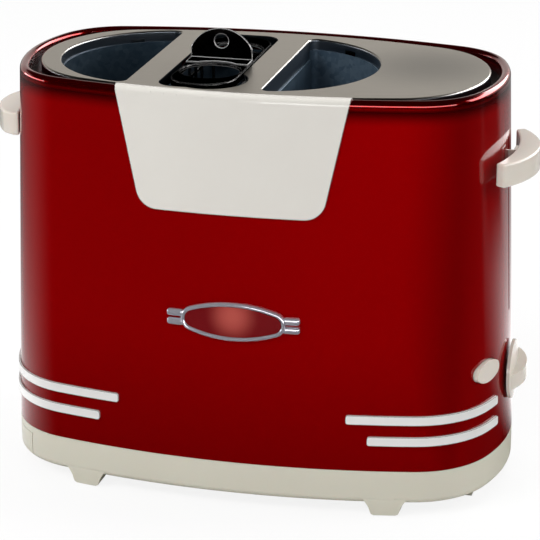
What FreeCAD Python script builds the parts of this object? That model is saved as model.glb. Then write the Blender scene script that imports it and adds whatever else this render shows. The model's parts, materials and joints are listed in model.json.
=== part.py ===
import FreeCAD, Part
import math
import os
import Sketcher
from FreeCAD import Placement, Rotation, Vector

# Hot dog toaster: an oval pressed-steel case on a moulded base, with two D-shaped bun
# wells and a lift-out sausage basket between them, all lowered together by one lever.
# Frame: X along the length (lever end at +X), front at -Y, Z up, floor at Z = 0.

# ------------------------------------------------------------------ driving sizes, mm
SIZES = [
    # The case outline: a three-radius oval, measured at the foot of the case.
    ("half_length", 130.0, "case, centre to end"),
    ("half_depth", 73.0, "case, centre to front"),
    ("front_radius", 419.8, "long arcs, front and back"),
    ("corner_radius", 44.1, "corner arcs"),
    ("end_radius", 100.4, "end arcs"),
    # Base moulding
    ("base_bottom", 6.7, "underside of the base above the floor"),
    ("base_top", 24.3, "joint between base and case"),
    ("base_wall", 2.5, "base side wall"),
    ("base_floor", 2.0, "base floor"),
    ("base_edge", 3.5, "rounded lower edge of the base"),
    ("lip_wall", 1.4, "upstand that the case fits over"),
    ("lip_rise", 1.7, "height of that upstand"),
    ("lip_gap", 0.3, "gap between upstand and case"),
    ("foot_place", 78.3, "feet, centre to centre half distance along X"),
    ("foot_half", 7.2, "foot, half length above its rounded edge"),
    ("foot_flare", 4.6, "how far a foot spreads on each side to its root"),
    ("foot_round", 1.9, "rounded lower corners of a foot"),
    ("foot_depth", 14.0, "foot, front to back"),
    ("foot_inset", 0.1, "foot face behind the base wall"),
    ("foot_sink", 0.5, "upper end of a foot behind the base wall"),
    ("pad_radius", 4.2, "rubber pad"),
    ("pad_stand", 0.5, "rubber pad below the foot"),
    ("pad_recess", 1.5, "pad socket in the foot"),
    ("end_foot_half", 33.0, "half width of the foot under the lever end"),
    ("end_foot_margin", 12.0, "outer edge of that foot in from the end of the base"),
    ("end_foot_length", 11.0, "length of that foot along X"),
    ("end_foot_draft", 1.5, "taper of that foot"),
    ("boss_x", 48.0, "screw bosses, centre to centre half distance along X"),
    ("boss_margin", 9.2, "screw boss centres in from front and back of the base"),
    ("boss_radius", 4.0, "screw boss"),
    ("screw_radius", 1.5, "self-tapping screw"),
    ("screw_hole_gap", 0.1, "hole beyond the screw"),
    ("screw_head", 3.3, "screw head radius"),
    ("screw_head_height", 2.2, "screw head"),
    ("screw_sink", 3.0, "depth of the screw head pocket"),
    # Pressed-steel case
    ("sheet", 1.0, "case steel"),
    ("case_gap", 0.2, "shadow gap over the base"),
    ("case_lean", 5.8, "how far the wall leans in from base to rim"),
    ("rim_top", 212.8, "highest line of the rolled rim"),
    ("rim_outer", 2.8, "outer radius of the roll"),
    ("rim_inner", 2.2, "inner radius of the roll"),
    ("ledge_top", 205.5, "ledge under the top panel"),
    # Top panel
    ("panel_top", 212.4, "top face"),
    ("panel_sheet", 0.8, "panel steel"),
    ("panel_end_margin", 15.2, "panel, in from the ends of the case outline"),
    ("panel_front_margin", 11.4, "panel, in from front and back of the case outline"),
    ("panel_front_radius", 320.0, "long arcs of the panel"),
    ("panel_corner_radius", 41.4, "corner arcs of the panel"),
    ("panel_end_tuck", 1.6, "end arcs of the panel, radius under its half depth"),
    ("panel_edge", 1.1, "rolled outer edge of the panel"),
    ("ledge_lap", 1.0, "ledge under the rolled edge of the case"),
    ("ledge_cover", 2.0, "ledge opening, in from the panel outline"),
    ("collar_depth", 11.0, "turned-down collar along the flat side of a bun opening"),
    ("collar_arc_depth", 6.4, "collar round the arc of a bun opening"),
    ("collar_step", 5.5, "flat side to the step between the two depths"),
    ("collar_edge", 1.0, "rolled edge of the bun openings"),
    ("collar_slot_width", 7.6, "locking slots in the collars"),
    ("collar_slot_height", 3.2, "locking slots, from the lower edge of the collar"),
    ("collar_slot_turn", 57.0, "slot position round the arc, degrees"),
    # Bun openings
    ("bun_end_margin", 10.4, "left opening to the left end of the panel"),
    ("bun_side_margin", 8.4, "arc of the openings to the long sides of the panel"),
    ("bun_depth", 47.0, "flat side to crown of the arc"),
    ("bun_corner", 4.0, "corner radius of the openings"),
    # Basket opening
    ("left_bridge", 16.4, "panel between left bun opening and basket opening"),
    ("slot_width", 37.0, "basket opening"),
    ("right_bridge", 15.7, "panel between basket opening and right bun opening"),
    ("slot_front_margin", 6.1, "basket opening to the front of the panel"),
    ("slot_back_margin", 8.9, "basket opening to the back of the panel"),
    ("slot_corner", 9.0, "basket opening corners"),
    ("notch_shift", 5.1, "thumb notch centre, right of the middle of the opening"),
    ("notch_set", 17.3, "thumb notch centre, behind the front of the opening"),
    ("notch_radius", 18.8, "thumb notch"),
    # Ivory front plate
    ("plate_sheet", 0.8, "front plate"),
    ("plate_gap", 0.1, "adhesive film behind the plate"),
    ("plate_bottom", 153.1, "lower edge"),
    ("plate_low_half", 45.9, "half width at the lower edge"),
    ("plate_high_half", 59.4, "half width over the rim"),
    ("plate_corner", 11.0, "lower corners"),
    ("plate_hook", 50.0, "how far the plate turns down behind the rim, degrees"),
    # Plaque on the front, plain
    ("badge_x", 2.0, "plaque centre"),
    ("badge_z", 98.9, "plaque centre"),
    ("badge_half_length", 26.6, "plaque"),
    ("badge_half_height", 9.8, "plaque"),
    ("badge_end_radius", 6.4, "rounded ends"),
    ("badge_rim", 2.0, "width of the bright rim"),
    ("badge_wing_reach", 33.8, "centre of the plaque to the ends of its side bars"),
    ("badge_wing_height", 3.4, "side bars of the plaque, two at each end"),
    ("badge_wing_gap", 1.2, "between the two side bars of one end"),
    ("badge_wing_corner", 1.3, "rounded corners of the side bars"),
    ("badge_rise", 1.9, "rim above the case"),
    ("badge_face", 1.2, "enamel above the case"),
    # Trim strips
    ("strip_rise", 1.0, "strip above the case"),
    ("strip_height", 4.7, "strip"),
    ("strip_upper", 49.2, "lower edge of the upper pair"),
    ("strip_lower", 38.2, "lower edge of the lower pair"),
    ("strip_upper_start", 58.7, "inner end of the upper pair"),
    ("strip_lower_start", 69.3, "inner end of the lower pair"),
    ("strip_right_stop", -24.0, "where the right pair ends, Y"),
    ("strip_left_stop", -12.0, "where the left pair ends, Y"),
    ("strip_end", 1.3, "rounded ends"),
    # Chassis plate and wells
    ("chassis_sheet", 1.0, "chassis plate"),
    ("well_sheet", 0.7, "galvanised sheet of the wells"),
    ("well_gap", 0.15, "well inside its collar"),
    ("well_overlap", 0.9, "well above the lower edge of its collar"),
    ("crumb_margin", 3.0, "crumb openings, in from the wells"),
    ("bar_slot", 3.4, "half width of the slots that the lifter runs in"),
    ("bar_slot_gap", 4.0, "slot beyond the lifter's travel"),
    ("window_width", 10.0, "heat windows in the flat walls"),
    ("window_pitch", 14.0, "heat windows"),
    ("window_low", 45.0, "heat windows"),
    ("window_high", 165.0, "heat windows"),
    ("sleeve_left_margin", 2.2, "sausage well beyond the basket opening"),
    ("sleeve_right_margin", 6.9, "sausage well beyond the basket opening"),
    ("sleeve_front_margin", 1.3, "sausage well beyond the basket opening"),
    ("sleeve_back_margin", 2.7, "sausage well beyond the basket opening"),
    ("sleeve_seam", 0.1, "seams between the plates of the wells"),
    ("sleeve_corner", 6.0, "sausage well corners"),
    ("sleeve_top", 204.0, "sausage well"),
    # Heaters
    ("mica", 1.2, "mica board"),
    ("mica_margin", 11.6, "mica board to the long sides of the panel"),
    ("mica_top", 196.0, "mica board"),
    ("mica_stand", 0.45, "mica board, share of the way from bun well to sausage well"),
    ("ribbon", 0.3, "heating ribbon thickness"),
    ("ribbon_height", 1.4, "heating ribbon"),
    ("ribbon_pitch", 16.0, "heating ribbon"),
    ("ribbon_first", 42.0, "lowest winding"),
    ("ribbon_upper", 130.0, "lowest full-width winding"),
    # Lifter and carriage
    ("travel", 72.0, "how far the lever goes down"),
    ("bar_rest", 5.0, "lifter bar above the chassis plate, lowered"),
    ("bar_height", 12.0, "lifter bar"),
    ("bar_half", 1.0, "lifter bar, half thickness"),
    ("bar_end_margin", 16.4, "left end of the lifter bar inside the left well"),
    ("platform_sheet", 1.2, "platforms"),
    ("platform_gap", 2.0, "platform to well wall"),
    ("platform_slot", 4.0, "crumb slots in the platforms"),
    ("rod_stand", 21.3, "guide rods beyond the right well"),
    ("rod_y", 16.0, "guide rods, half spacing"),
    ("rod_radius", 2.5, "guide rods"),
    ("rod_fit", 0.08, "running clearance on the rods"),
    ("block_half_x", 9.0, "carriage block"),
    ("block_half_y", 22.0, "carriage block"),
    ("block_low", 150.0, "carriage block, raised"),
    ("block_high", 178.0, "carriage block, raised"),
    ("upright", 5.0, "upright of the lifter"),
    ("frame_sheet", 1.2, "mechanism frame"),
    ("frame_clear", 4.0, "mechanism frame, clear of the upright"),
    ("frame_half", 28.0, "mechanism frame, half width"),
    ("stop_gap", 0.3, "carriage block under its upper stop"),
    ("frame_reach", 24.0, "flanges of the mechanism frame"),
    ("spring_wire", 0.6, "return spring wire radius"),
    ("spring_radius", 4.3, "return spring, mean radius"),
    ("spring_turns", 13.0, "return spring"),
    ("spring_seat", 0.15, "spring end to its seat"),
    ("arm_half", 0.7, "lever arm, half thickness"),
    ("arm_low", 167.5, "lever arm, raised"),
    ("arm_high", 175.5, "lever arm, raised"),
    ("arm_in_handle", 7.0, "lever arm inside the handle"),
    ("lever_slot_half", 1.3, "lever slot in the case"),
    ("lever_slot_under", 4.5, "lever slot below the lowered lever arm"),
    ("lever_slot_over", 7.5, "lever slot above the raised lever arm"),
    # Handles
    ("handle_stand", 11.0, "outermost point of both handles beyond the case"),
    ("handle_height", 12.0, "both handles"),
    ("handle_half", 31.0, "both handles, tip to tip half distance"),
    ("handle_mid", 11.4, "thickness in the middle"),
    ("handle_tip", 4.4, "thickness at the tips"),
    ("handle_bow", 12.6, "outer curve, tip to crown"),
    ("handle_inner_bow", 5.6, "inner curve, tip to crown"),
    ("handle_edge", 1.2, "rounded edges"),
    ("lever_low", 165.5, "underside of the lever handle, raised"),
    ("lever_stem_half", 4.0, "stem behind the lever handle"),
    ("lever_stem_gap", 0.5, "stem to case"),
    ("grip_low", 172.9, "underside of the fixed grip"),
    ("grip_stem_half", 13.0, "block behind the fixed grip"),
    ("grip_screw_y", 7.5, "grip screws, half spacing"),
    ("grip_screw_depth", 8.0, "grip screws into the grip"),
    # Latch
    ("keeper", 2.5, "keeper plate"),
    ("keeper_half", 7.0, "keeper plate"),
    ("keeper_reach", 12.0, "keeper plate"),
    ("magnet_gap", 0.5, "keeper to magnet, lever down"),
    ("magnet_height", 26.0, "electromagnet"),
    ("magnet_leg", 3.0, "legs of the magnet yoke"),
    ("magnet_coil_clear", 2.5, "coil ends to yoke ends"),
    # Electrics
    ("board_margin", 26.0, "circuit board, inner face to the end of the case"),
    ("board", 1.6, "circuit board"),
    ("board_front", -36.0, "circuit board edge"),
    ("board_back", 30.0, "circuit board edge"),
    ("board_top", 88.0, "circuit board"),
    ("timer_depth", 15.0, "timer case"),
    ("timer_half", 13.0, "timer case"),
    ("timer_z", 59.5, "timer and knob axis"),
    ("shaft_radius", 3.0, "timer shaft"),
    ("shaft_hole", 4.2, "hole in the case for the shaft"),
    ("knob_radius", 15.2, "knob"),
    ("knob_gap", 0.5, "knob to case"),
    ("knob_rim", 1.6, "thickness of the knob's edge"),
    ("knob_dome", 1.6, "rise of the knob's face"),
    ("knob_fin", 6.4, "grip above the rim"),
    ("knob_fin_half", 4.3, "grip, half thickness"),
    ("knob_fin_length", 13.4, "grip, half length"),
    ("knob_turn", 14.0, "grip at rest, degrees from level"),
    ("button_y", -34.0, "stop button"),
    ("button_z", 70.4, "stop button"),
    ("button_turn", 20.0, "direction of the button's travel, degrees from X"),
    ("button_half_length", 10.4, "button face"),
    ("button_half_height", 5.6, "button face"),
    ("button_end_radius", 4.0, "button face"),
    ("button_gap", 0.4, "button to case"),
    ("button_proud", 1.6, "button above the case"),
    ("button_travel", 2.2, "button"),
    ("button_stem", 3.2, "radius of the button's stem"),
    ("button_depth", 10.0, "stem behind the case"),
    ("flange_depth", 3.0, "retaining flange behind the case"),
    ("flange_sheet", 1.2, "retaining flange"),
    ("flange_margin", 1.5, "retaining flange beyond the button"),
    # Crumb tray
    ("tray_length", 18.8, "tray front, end of the base to its joint"),
    ("tray_top", 20.7, "top of the tray opening"),
    ("tray_gap", 0.3, "tray to base"),
    ("tray_side_margin", 24.0, "tray pan to front and back of the base"),
    ("tray_reach", 181.4, "tray pan"),
    ("tray_corner", 22.0, "cut-off corners of the tray pan"),
    ("tray_sheet", 0.8, "tray pan"),
    ("tray_rise", 7.0, "tray pan"),
    # Sausage basket
    ("basket_shift", 0.6, "basket centre, right of the middle of its opening"),
    ("basket_side_gap", 1.9, "top frame to its opening, sides"),
    ("basket_end_gap", 4.2, "top frame to the back of its opening"),
    ("basket_corner", 15.0, "top frame corners"),
    ("basket_top", 212.5, "top frame"),
    ("basket_sheet", 0.8, "top frame"),
    ("basket_flange", 4.0, "turned-down edge of the top frame"),
    ("basket_edge", 0.7, "rolled edge of the top frame"),
    ("ring_radius", 15.0, "sausage holes"),
    ("ring_web", 14.0, "steel between the two sausage holes"),
    ("ring_lip", 1.6, "turned-down edge of the sausage holes"),
    ("tab_half", 16.0, "lifting tab"),
    ("tab_height", 16.3, "lifting tab above the frame"),
    ("tab_arch", 17.6, "arched top of the lifting tab"),
    ("tab_foot", 10.0, "foot of the lifting tab"),
    ("tab_hole", 3.65, "finger hole in the lifting tab"),
    ("tab_hole_rise", 9.8, "hole above the frame"),
    ("cage_inset", 1.0, "cage inside the frame's edge"),
    ("cage_strip", 0.9, "cage hoops"),
    ("cage_strip_height", 2.0, "cage hoops"),
    ("cage_hoop", 203.0, "upper hoop"),
    ("cage_middle", 160.0, "middle hoop"),
    ("cage_wire", 0.8, "cage uprights, radius"),
    ("cage_wire_pitch", 11.0, "cage uprights, either side of a sausage hole's centre"),
    ("cage_weld", 0.05, "uprights inside the hoops"),
    ("cage_floor", 1.0, "cage floor"),
    ("cage_floor_hole", 10.5, "drip holes in the cage floor"),
    ("cage_stand", 0.3, "cage to platform"),
    # Cord gland at the back
    ("gland_x", 58.0, "cord outlet"),
    ("gland_z", 16.0, "cord outlet"),
    ("gland_bore", 3.6, "cord hole"),
    ("gland_neck", 5.0, "gland where it passes the wall"),
    ("gland_flange", 6.8, "gland flanges"),
    ("gland_flange_sheet", 1.6, "gland flanges"),
    ("gland_tail", 3.1, "gland outside the wall"),
    ("gland_seat", 0.1, "gland in its hole"),
]


# ------------------------------------------------------------- sizes and expressions
class Size:
    """A number together with the sheet expression that gives it."""

    def __init__(self, value, text):
        self.value = value
        self.text = text

    def __float__(self):
        return self.value

    def __add__(self, other):
        return joined(self, "+", other)

    def __sub__(self, other):
        return joined(self, "-", other)

    def __mul__(self, other):
        return joined(self, "*", other)

    def __truediv__(self, other):
        return joined(self, "/", other)

    def __radd__(self, other):
        return joined(other, "+", self)

    def __rsub__(self, other):
        return joined(other, "-", self)

    def __rmul__(self, other):
        return joined(other, "*", self)

    def __rtruediv__(self, other):
        return joined(other, "/", self)

    def __neg__(self):
        return joined(0, "-", self)


def as_size(number):
    """A plain number as a Size."""
    if isinstance(number, Size):
        return number
    return Size(float(number), repr(float(number)))


def joined(first, sign, second):
    """Two sizes joined by + - * or /, in value and in expression."""
    first, second = as_size(first), as_size(second)
    a, b = first.value, second.value
    value = {"+": lambda: a + b, "-": lambda: a - b, "*": lambda: a * b, "/": lambda: a / b}[sign]()
    return Size(value, f"({first.text} {sign} {second.text})")


def root(size):
    """Square root of a size."""
    return Size(math.sqrt(float(size)), f"sqrt({as_size(size).text})")


def cosine(size):
    """Cosine of an angle in degrees."""
    return Size(math.cos(math.radians(float(size))), f"cos({as_size(size).text} * 1 deg)")


def sine(size):
    """Sine of an angle in degrees."""
    return Size(math.sin(math.radians(float(size))), f"sin({as_size(size).text} * 1 deg)")


doc = FreeCAD.newDocument("HotDogToaster")
sheet = doc.addObject("Spreadsheet::Sheet", "Sizes")
S = {}
for row, (name, value, note) in enumerate(SIZES, start=1):
    sheet.set(f"A{row}", name)
    sheet.set(f"B{row}", repr(value))
    sheet.setAlias(f"B{row}", name)
    sheet.set(f"C{row}", note)
    S[name] = Size(value, f"Sizes.{name}")
doc.recompute()

# Sizes that follow from others
S["panel_half_length"] = S["half_length"] - S["panel_end_margin"]
S["panel_half_depth"] = S["half_depth"] - S["panel_front_margin"]
S["panel_end_radius"] = S["panel_half_depth"] - S["panel_end_tuck"]
S["bun_radius"] = S["panel_half_depth"] - S["bun_side_margin"]
S["bun_left_flat"] = S["bun_end_margin"] + S["bun_depth"] - S["panel_half_length"]
S["slot_left"] = S["bun_left_flat"] + S["left_bridge"]
S["slot_right"] = S["slot_left"] + S["slot_width"]
S["bun_right_flat"] = S["slot_right"] + S["right_bridge"]
S["slot_front"] = S["slot_front_margin"] - S["panel_half_depth"]
S["slot_back"] = S["panel_half_depth"] - S["slot_back_margin"]
S["notch_x"] = S["slot_left"] + S["slot_width"] / 2 + S["notch_shift"]
S["notch_y"] = S["slot_front"] + S["notch_set"]
S["sleeve_left"] = S["slot_left"] - S["sleeve_left_margin"]
S["sleeve_right"] = S["slot_right"] + S["sleeve_right_margin"]
S["sleeve_front"] = S["slot_front"] - S["sleeve_front_margin"]
S["sleeve_back"] = S["slot_back"] + S["sleeve_back_margin"]
S["mica_half"] = S["panel_half_depth"] - S["mica_margin"]
S["mica_left_x"] = S["bun_left_flat"] + (S["sleeve_left"] - S["bun_left_flat"]) * S["mica_stand"]
S["mica_right_x"] = S["bun_right_flat"] + (S["sleeve_right"] - S["bun_right_flat"]) * S["mica_stand"]
S["bar_left"] = S["bun_left_flat"] - S["bun_depth"] + S["bar_end_margin"]
S["bar_top"] = (S["base_top"] + S["lip_rise"] + S["chassis_sheet"] + S["bar_rest"] + S["travel"]
                + S["bar_height"])
S["lever_slot_low"] = S["arm_low"] - S["travel"] - S["lever_slot_under"]
S["lever_slot_high"] = S["arm_high"] + S["lever_slot_over"]
S["rod_x"] = S["bun_right_flat"] + S["bun_depth"] + S["rod_stand"]
S["handle_reach"] = S["half_length"] + S["handle_stand"]
S["board_x"] = S["half_length"] - S["board_margin"]
S["tray_seam"] = S["tray_length"] - S["half_length"]
S["tray_half"] = S["half_depth"] - S["tray_side_margin"]
S["basket_x"] = S["slot_left"] + S["slot_width"] / 2 + S["basket_shift"]
S["basket_half_width"] = S["slot_width"] / 2 - S["basket_side_gap"]
S["basket_half_length"] = S["slot_back"] - S["basket_end_gap"]
S["ring_place"] = S["ring_radius"] + S["ring_web"] / 2


# -------------------------------------------------------------------- drawing helpers
def new_body(label, several=False):
    """An empty PartDesign body; several lets it hold separate solids."""
    body = doc.addObject("PartDesign::Body", label)
    body.Label = label
    body.AllowCompound = several
    return body


def bind(item, name, size):
    """Drives a property by the sheet."""
    item.setExpression(name, as_size(size).text)


def new_sketch(body, role, offset):
    """A sketch on one of the body's own origin planes, moved along its normal."""
    sketch = body.newObject("Sketcher::SketchObject", "Sketch")
    plane = [item for item in body.Origin.OriginFeatures if item.Role == role][0]
    sketch.AttachmentSupport = (plane, "")
    sketch.MapMode = "FlatFace"
    bind(sketch, "AttachmentOffset.Base.z", offset)
    return sketch


def sketch_xy(body, z):
    """Plan sketch at height z; pads go up, cuts go down."""
    return new_sketch(body, "XY_Plane", z)


def sketch_xz(body, y):
    """Front-view sketch at depth y; pads go to the front, cuts go to the back."""
    return new_sketch(body, "XZ_Plane", -as_size(y))


def sketch_yz(body, x):
    """End-view sketch at x; pads go to +X, cuts go to -X."""
    return new_sketch(body, "YZ_Plane", x)


def constrain(sketch, kind, where, size):
    """Adds a dimension and drives it by the sheet."""
    index = sketch.addConstraint(Sketcher.Constraint(kind, *where, float(size)))
    sketch.setExpression(f"Constraints[{index}]", as_size(size).text)


def pin(sketch, element, end, u, v):
    """Fixes a point of a sketch element by its two coordinates."""
    constrain(sketch, "DistanceX", (-1, 1, element, end), u)
    constrain(sketch, "DistanceY", (-1, 1, element, end), v)


def arc_between(start, finish, radius):
    """An arc under half a turn; its centre is on the left of the way for a radius above 0."""
    chord = finish - start
    across = Vector(-chord.y, chord.x, 0).normalize()
    height = math.sqrt(radius * radius - chord.Length * chord.Length / 4)
    centre = (start + finish) * 0.5 + across * math.copysign(height, radius)
    first, last = (start, finish) if radius > 0 else (finish, start)
    angles = [math.atan2(point.y - centre.y, point.x - centre.x) for point in (first, last)]
    return Part.ArcOfCircle(Part.Circle(centre, Vector(0, 0, 1), abs(radius)), *angles)


def draw(sketch, corners, arcs=None):
    """A closed outline through corners; arcs gives the radius of an edge that isn't straight."""
    arcs = arcs or {}
    points = [Vector(float(u), float(v), 0) for u, v in corners]
    first = sketch.GeometryCount
    ends = []
    for i, start in enumerate(points):
        finish = points[(i + 1) % len(points)]
        if i in arcs:
            sketch.addGeometry(arc_between(start, finish, float(arcs[i])), False)
            ends.append((1, 2) if float(arcs[i]) > 0 else (2, 1))
        else:
            sketch.addGeometry(Part.LineSegment(start, finish), False)
            ends.append((1, 2))
    for i, (u, v) in enumerate(corners):
        before = (i - 1) % len(corners)
        sketch.addConstraint(Sketcher.Constraint(
            "Coincident", first + before, ends[before][1], first + i, ends[i][0]))
        pin(sketch, first + i, ends[i][0], u, v)
    for i, radius in arcs.items():
        constrain(sketch, "Radius", (first + i,), radius if float(radius) > 0 else -radius)


def rectangle(sketch, u0, u1, v0, v1):
    """A rectangle between two corners."""
    draw(sketch, [(u0, v0), (u1, v0), (u1, v1), (u0, v1)])


def rounded(sketch, u0, u1, v0, v1, radius):
    """A rectangle with rounded corners."""
    corners = [(u0 + radius, v0), (u1 - radius, v0), (u1, v0 + radius), (u1, v1 - radius),
               (u1 - radius, v1), (u0 + radius, v1), (u0, v1 - radius), (u0, v0 + radius)]
    draw(sketch, corners, {1: radius, 3: radius, 5: radius, 7: radius})


def circle(sketch, u, v, radius):
    """A full circle."""
    centre = Vector(float(u), float(v), 0)
    element = sketch.addGeometry(Part.Circle(centre, Vector(0, 0, 1), float(radius)), False)
    pin(sketch, element, 3, u, v)
    constrain(sketch, "Radius", (element,), radius)


def lens_arcs(half_length, half_height, end_radius):
    """Radius of the long arcs of a four-arc oval, and where they meet its rounded ends."""
    reach = half_length - end_radius
    rise = half_height * half_height - end_radius * end_radius
    long_radius = (reach * reach + rise) / (2 * (half_height - end_radius))
    share = long_radius - end_radius
    return long_radius, reach * long_radius / share, (long_radius - half_height) * end_radius / share


def lens(sketch, u, v, half_length, half_height, end_radius):
    """A four-arc oval: two long arcs and two rounded ends."""
    long_radius, du, dv = lens_arcs(half_length, half_height, end_radius)
    corners = [(u - du, v - dv), (u + du, v - dv), (u + du, v + dv), (u - du, v + dv)]
    draw(sketch, corners, {0: long_radius, 1: end_radius, 2: long_radius, 3: end_radius})


def winged_lens(sketch, u, v, half_length, half_height, end_radius):
    """A four-arc oval with two side bars at each end, in one outline."""
    long_radius, du, dv = lens_arcs(half_length, half_height, end_radius)
    inner = S["badge_wing_gap"] / 2
    outer = inner + S["badge_wing_height"]
    tip = S["badge_wing_reach"]
    corner = S["badge_wing_corner"]

    def on_end(height):
        return half_length - end_radius + root(end_radius * end_radius - height * height)

    half = [(du, -dv), (on_end(outer), -outer), (tip - corner, -outer), (tip, corner - outer),
            (tip, -inner - corner), (tip - corner, -inner), (on_end(inner), -inner),
            (on_end(inner), inner), (tip - corner, inner), (tip, inner + corner),
            (tip, outer - corner), (tip - corner, outer), (on_end(outer), outer), (du, dv)]
    curves = {0: end_radius, 2: corner, 4: corner, 6: end_radius, 8: corner, 10: corner,
              12: end_radius, 13: long_radius}
    corners = [(u + sign * a, v + sign * b) for sign in (1, -1) for a, b in half]
    arcs = {i + first: radius for first in (0, len(half)) for i, radius in curves.items()}
    draw(sketch, corners, arcs)


def oval(sketch, half_length, half_depth, radii, inset):
    """The three-radius oval, or a parallel line inside it, held by tangency."""
    front, corner, end = [radius - inset for radius in radii]
    long_centre = Vector(0, float(front + inset - half_depth), 0)
    end_centre = Vector(float(half_length - inset - end), 0, 0)
    reach_long, reach_end = float(front - corner), float(end - corner)
    line = end_centre - long_centre
    along = (reach_long ** 2 - reach_end ** 2 + line.Length ** 2) / (2 * line.Length)
    aside = math.sqrt(reach_long ** 2 - along ** 2)
    line.normalize()
    corner_centre = long_centre + line * along + Vector(-line.y, line.x, 0) * aside
    turn_long = math.atan2(corner_centre.x, long_centre.y - corner_centre.y)
    turn_end = math.atan2(-corner_centre.y, corner_centre.x - end_centre.x)
    quarter = math.pi / 2
    first = sketch.GeometryCount
    for side in (0, 1):
        sign = 1 - 2 * side
        base = math.pi * side
        spans = [
            (long_centre * sign, front, -quarter - turn_long, -quarter + turn_long),
            (corner_centre * sign, corner, -quarter + turn_long, -turn_end),
            (end_centre * sign, end, -turn_end, turn_end),
            (Vector(corner_centre.x, -corner_centre.y, 0) * sign, corner, turn_end, quarter - turn_long),
        ]
        for centre, radius, start, finish in spans:
            ring = Part.Circle(centre, Vector(0, 0, 1), float(radius))
            sketch.addGeometry(Part.ArcOfCircle(ring, base + start, base + finish), False)
    for i in range(8):
        sketch.addConstraint(Sketcher.Constraint("Tangent", first + i, 2, first + (i + 1) % 8, 1))
    for i, axis in ((0, -2), (4, -2), (2, -1), (6, -1)):
        sketch.addConstraint(Sketcher.Constraint("PointOnObject", first + i, 3, axis))
    for a, b in ((0, 4), (2, 6), (1, 3), (1, 5), (1, 7)):
        sketch.addConstraint(Sketcher.Constraint("Equal", first + a, first + b))
    for i, radius in ((0, front), (1, corner), (2, end)):
        constrain(sketch, "Radius", (first + i,), radius)
    constrain(sketch, "DistanceY", (-1, 1, first, 3), radii[0] - half_depth)
    constrain(sketch, "DistanceY", (first + 4, 3, -1, 1), radii[0] - half_depth)
    constrain(sketch, "DistanceX", (-1, 1, first + 2, 3), half_length - radii[2])
    constrain(sketch, "DistanceX", (first + 6, 3, -1, 1), half_length - radii[2])


def case_oval(sketch, inset):
    """The outline of the case at its foot, or a parallel line inside it."""
    radii = (S["front_radius"], S["corner_radius"], S["end_radius"])
    oval(sketch, S["half_length"], S["half_depth"], radii, as_size(inset))


def panel_oval(sketch, inset):
    """The outline of the top panel, or a parallel line inside it."""
    radii = (S["panel_front_radius"], S["panel_corner_radius"], S["panel_end_radius"])
    oval(sketch, S["panel_half_length"], S["panel_half_depth"], radii, as_size(inset))


# -------------------------------------------------------------------- feature helpers
def grow(body, kind, sketch, length, reverse):
    """A pad or pocket of one sketch."""
    feature = body.newObject(kind, kind.split("::")[1])
    feature.Profile = sketch
    feature.Reversed = reverse
    bind(feature, "Length", length)
    sketch.Visibility = False
    doc.recompute()
    return feature


def pad(body, sketch, length, reverse=False):
    """Material along the sketch's normal."""
    return grow(body, "PartDesign::Pad", sketch, length, reverse)


def cut(body, sketch, length, reverse=False):
    """Material taken away against the sketch's normal, checked by volume."""
    before = body.Shape.Volume
    feature = grow(body, "PartDesign::Pocket", sketch, length, reverse)
    if body.Shape.Volume >= before:
        raise ValueError(f"{body.Label}: {feature.Name} cuts nothing")
    return feature


def fillet(body, radius, chosen):
    """Rounds the edges that chosen accepts."""
    base = body.Tip
    names = [f"Edge{i}" for i, edge in enumerate(base.Shape.Edges, start=1) if chosen(edge)]
    feature = body.newObject("PartDesign::Fillet", "Fillet")
    feature.Base = (base, names)
    bind(feature, "Radius", radius)
    doc.recompute()
    return feature


def flat_at(edge, z):
    """True for an edge that lies level at height z."""
    box = edge.BoundBox
    return abs(box.ZMin - float(z)) < 0.01 and abs(box.ZMax - float(z)) < 0.01


def lofted(body, sketches):
    """A straight loft through the sketches."""
    feature = body.newObject("PartDesign::AdditiveLoft", "Loft")
    feature.Profile = sketches[0]
    feature.Sections = sketches[1:]
    feature.Ruled = True
    doc.recompute()
    return feature


def swept(body, section, path):
    """The section carried round the path."""
    feature = body.newObject("PartDesign::AdditivePipe", "Sweep")
    feature.Profile = section
    feature.Spine = (path, [])
    feature.Mode = "Frenet"
    doc.recompute()
    return feature


# ---------------------------------------------------------------- places worked out
CASE_FOOT = S["base_top"] + S["case_gap"]
ROLL_START = S["rim_top"] - S["rim_outer"]
CREST_X = S["half_length"] - S["case_lean"] - S["rim_outer"]
CHASSIS_LOW = S["base_top"] + S["lip_rise"]
CHASSIS_TOP = CHASSIS_LOW + S["chassis_sheet"]
PANEL_UNDER = S["panel_top"] - S["panel_sheet"]
COLLAR_FOOT = S["panel_top"] - S["collar_depth"]
ARC_FOOT = S["panel_top"] - S["collar_arc_depth"]
BAR_LOW = S["bar_top"] - S["bar_height"]
PLATFORM_TOP = S["bar_top"] + S["platform_sheet"]
SLOT_LOW = BAR_LOW - S["travel"] - S["bar_slot_gap"]
SLOT_HIGH = PLATFORM_TOP + S["bar_slot_gap"]
UPRIGHT_X = S["rod_x"] - S["block_half_x"] - S["upright"]
FRAME_TOP = S["block_high"] + S["stop_gap"] + S["frame_sheet"]
FRAME_X = UPRIGHT_X - S["frame_clear"] - S["frame_sheet"]
HANDLE_INNER = S["handle_reach"] - S["handle_mid"]
BASKET_UNDER = S["basket_top"] - S["basket_sheet"]
CAGE_LOW = PLATFORM_TOP + S["cage_stand"]


def wall_inset(level):
    """How far the leaning wall stands inside its outline at a level."""
    return S["case_lean"] * (level - CASE_FOOT) / (ROLL_START - CASE_FOOT)


def wall_x(level):
    """The outer face of the case at the ends, on the centre line."""
    return S["half_length"] - wall_inset(level)


def front_y(x, inset):
    """The long front arc at x, a distance inside the outline at the foot of the case."""
    radius = S["front_radius"] - inset
    return S["front_radius"] - S["half_depth"] - root(radius * radius - x * x)


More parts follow.
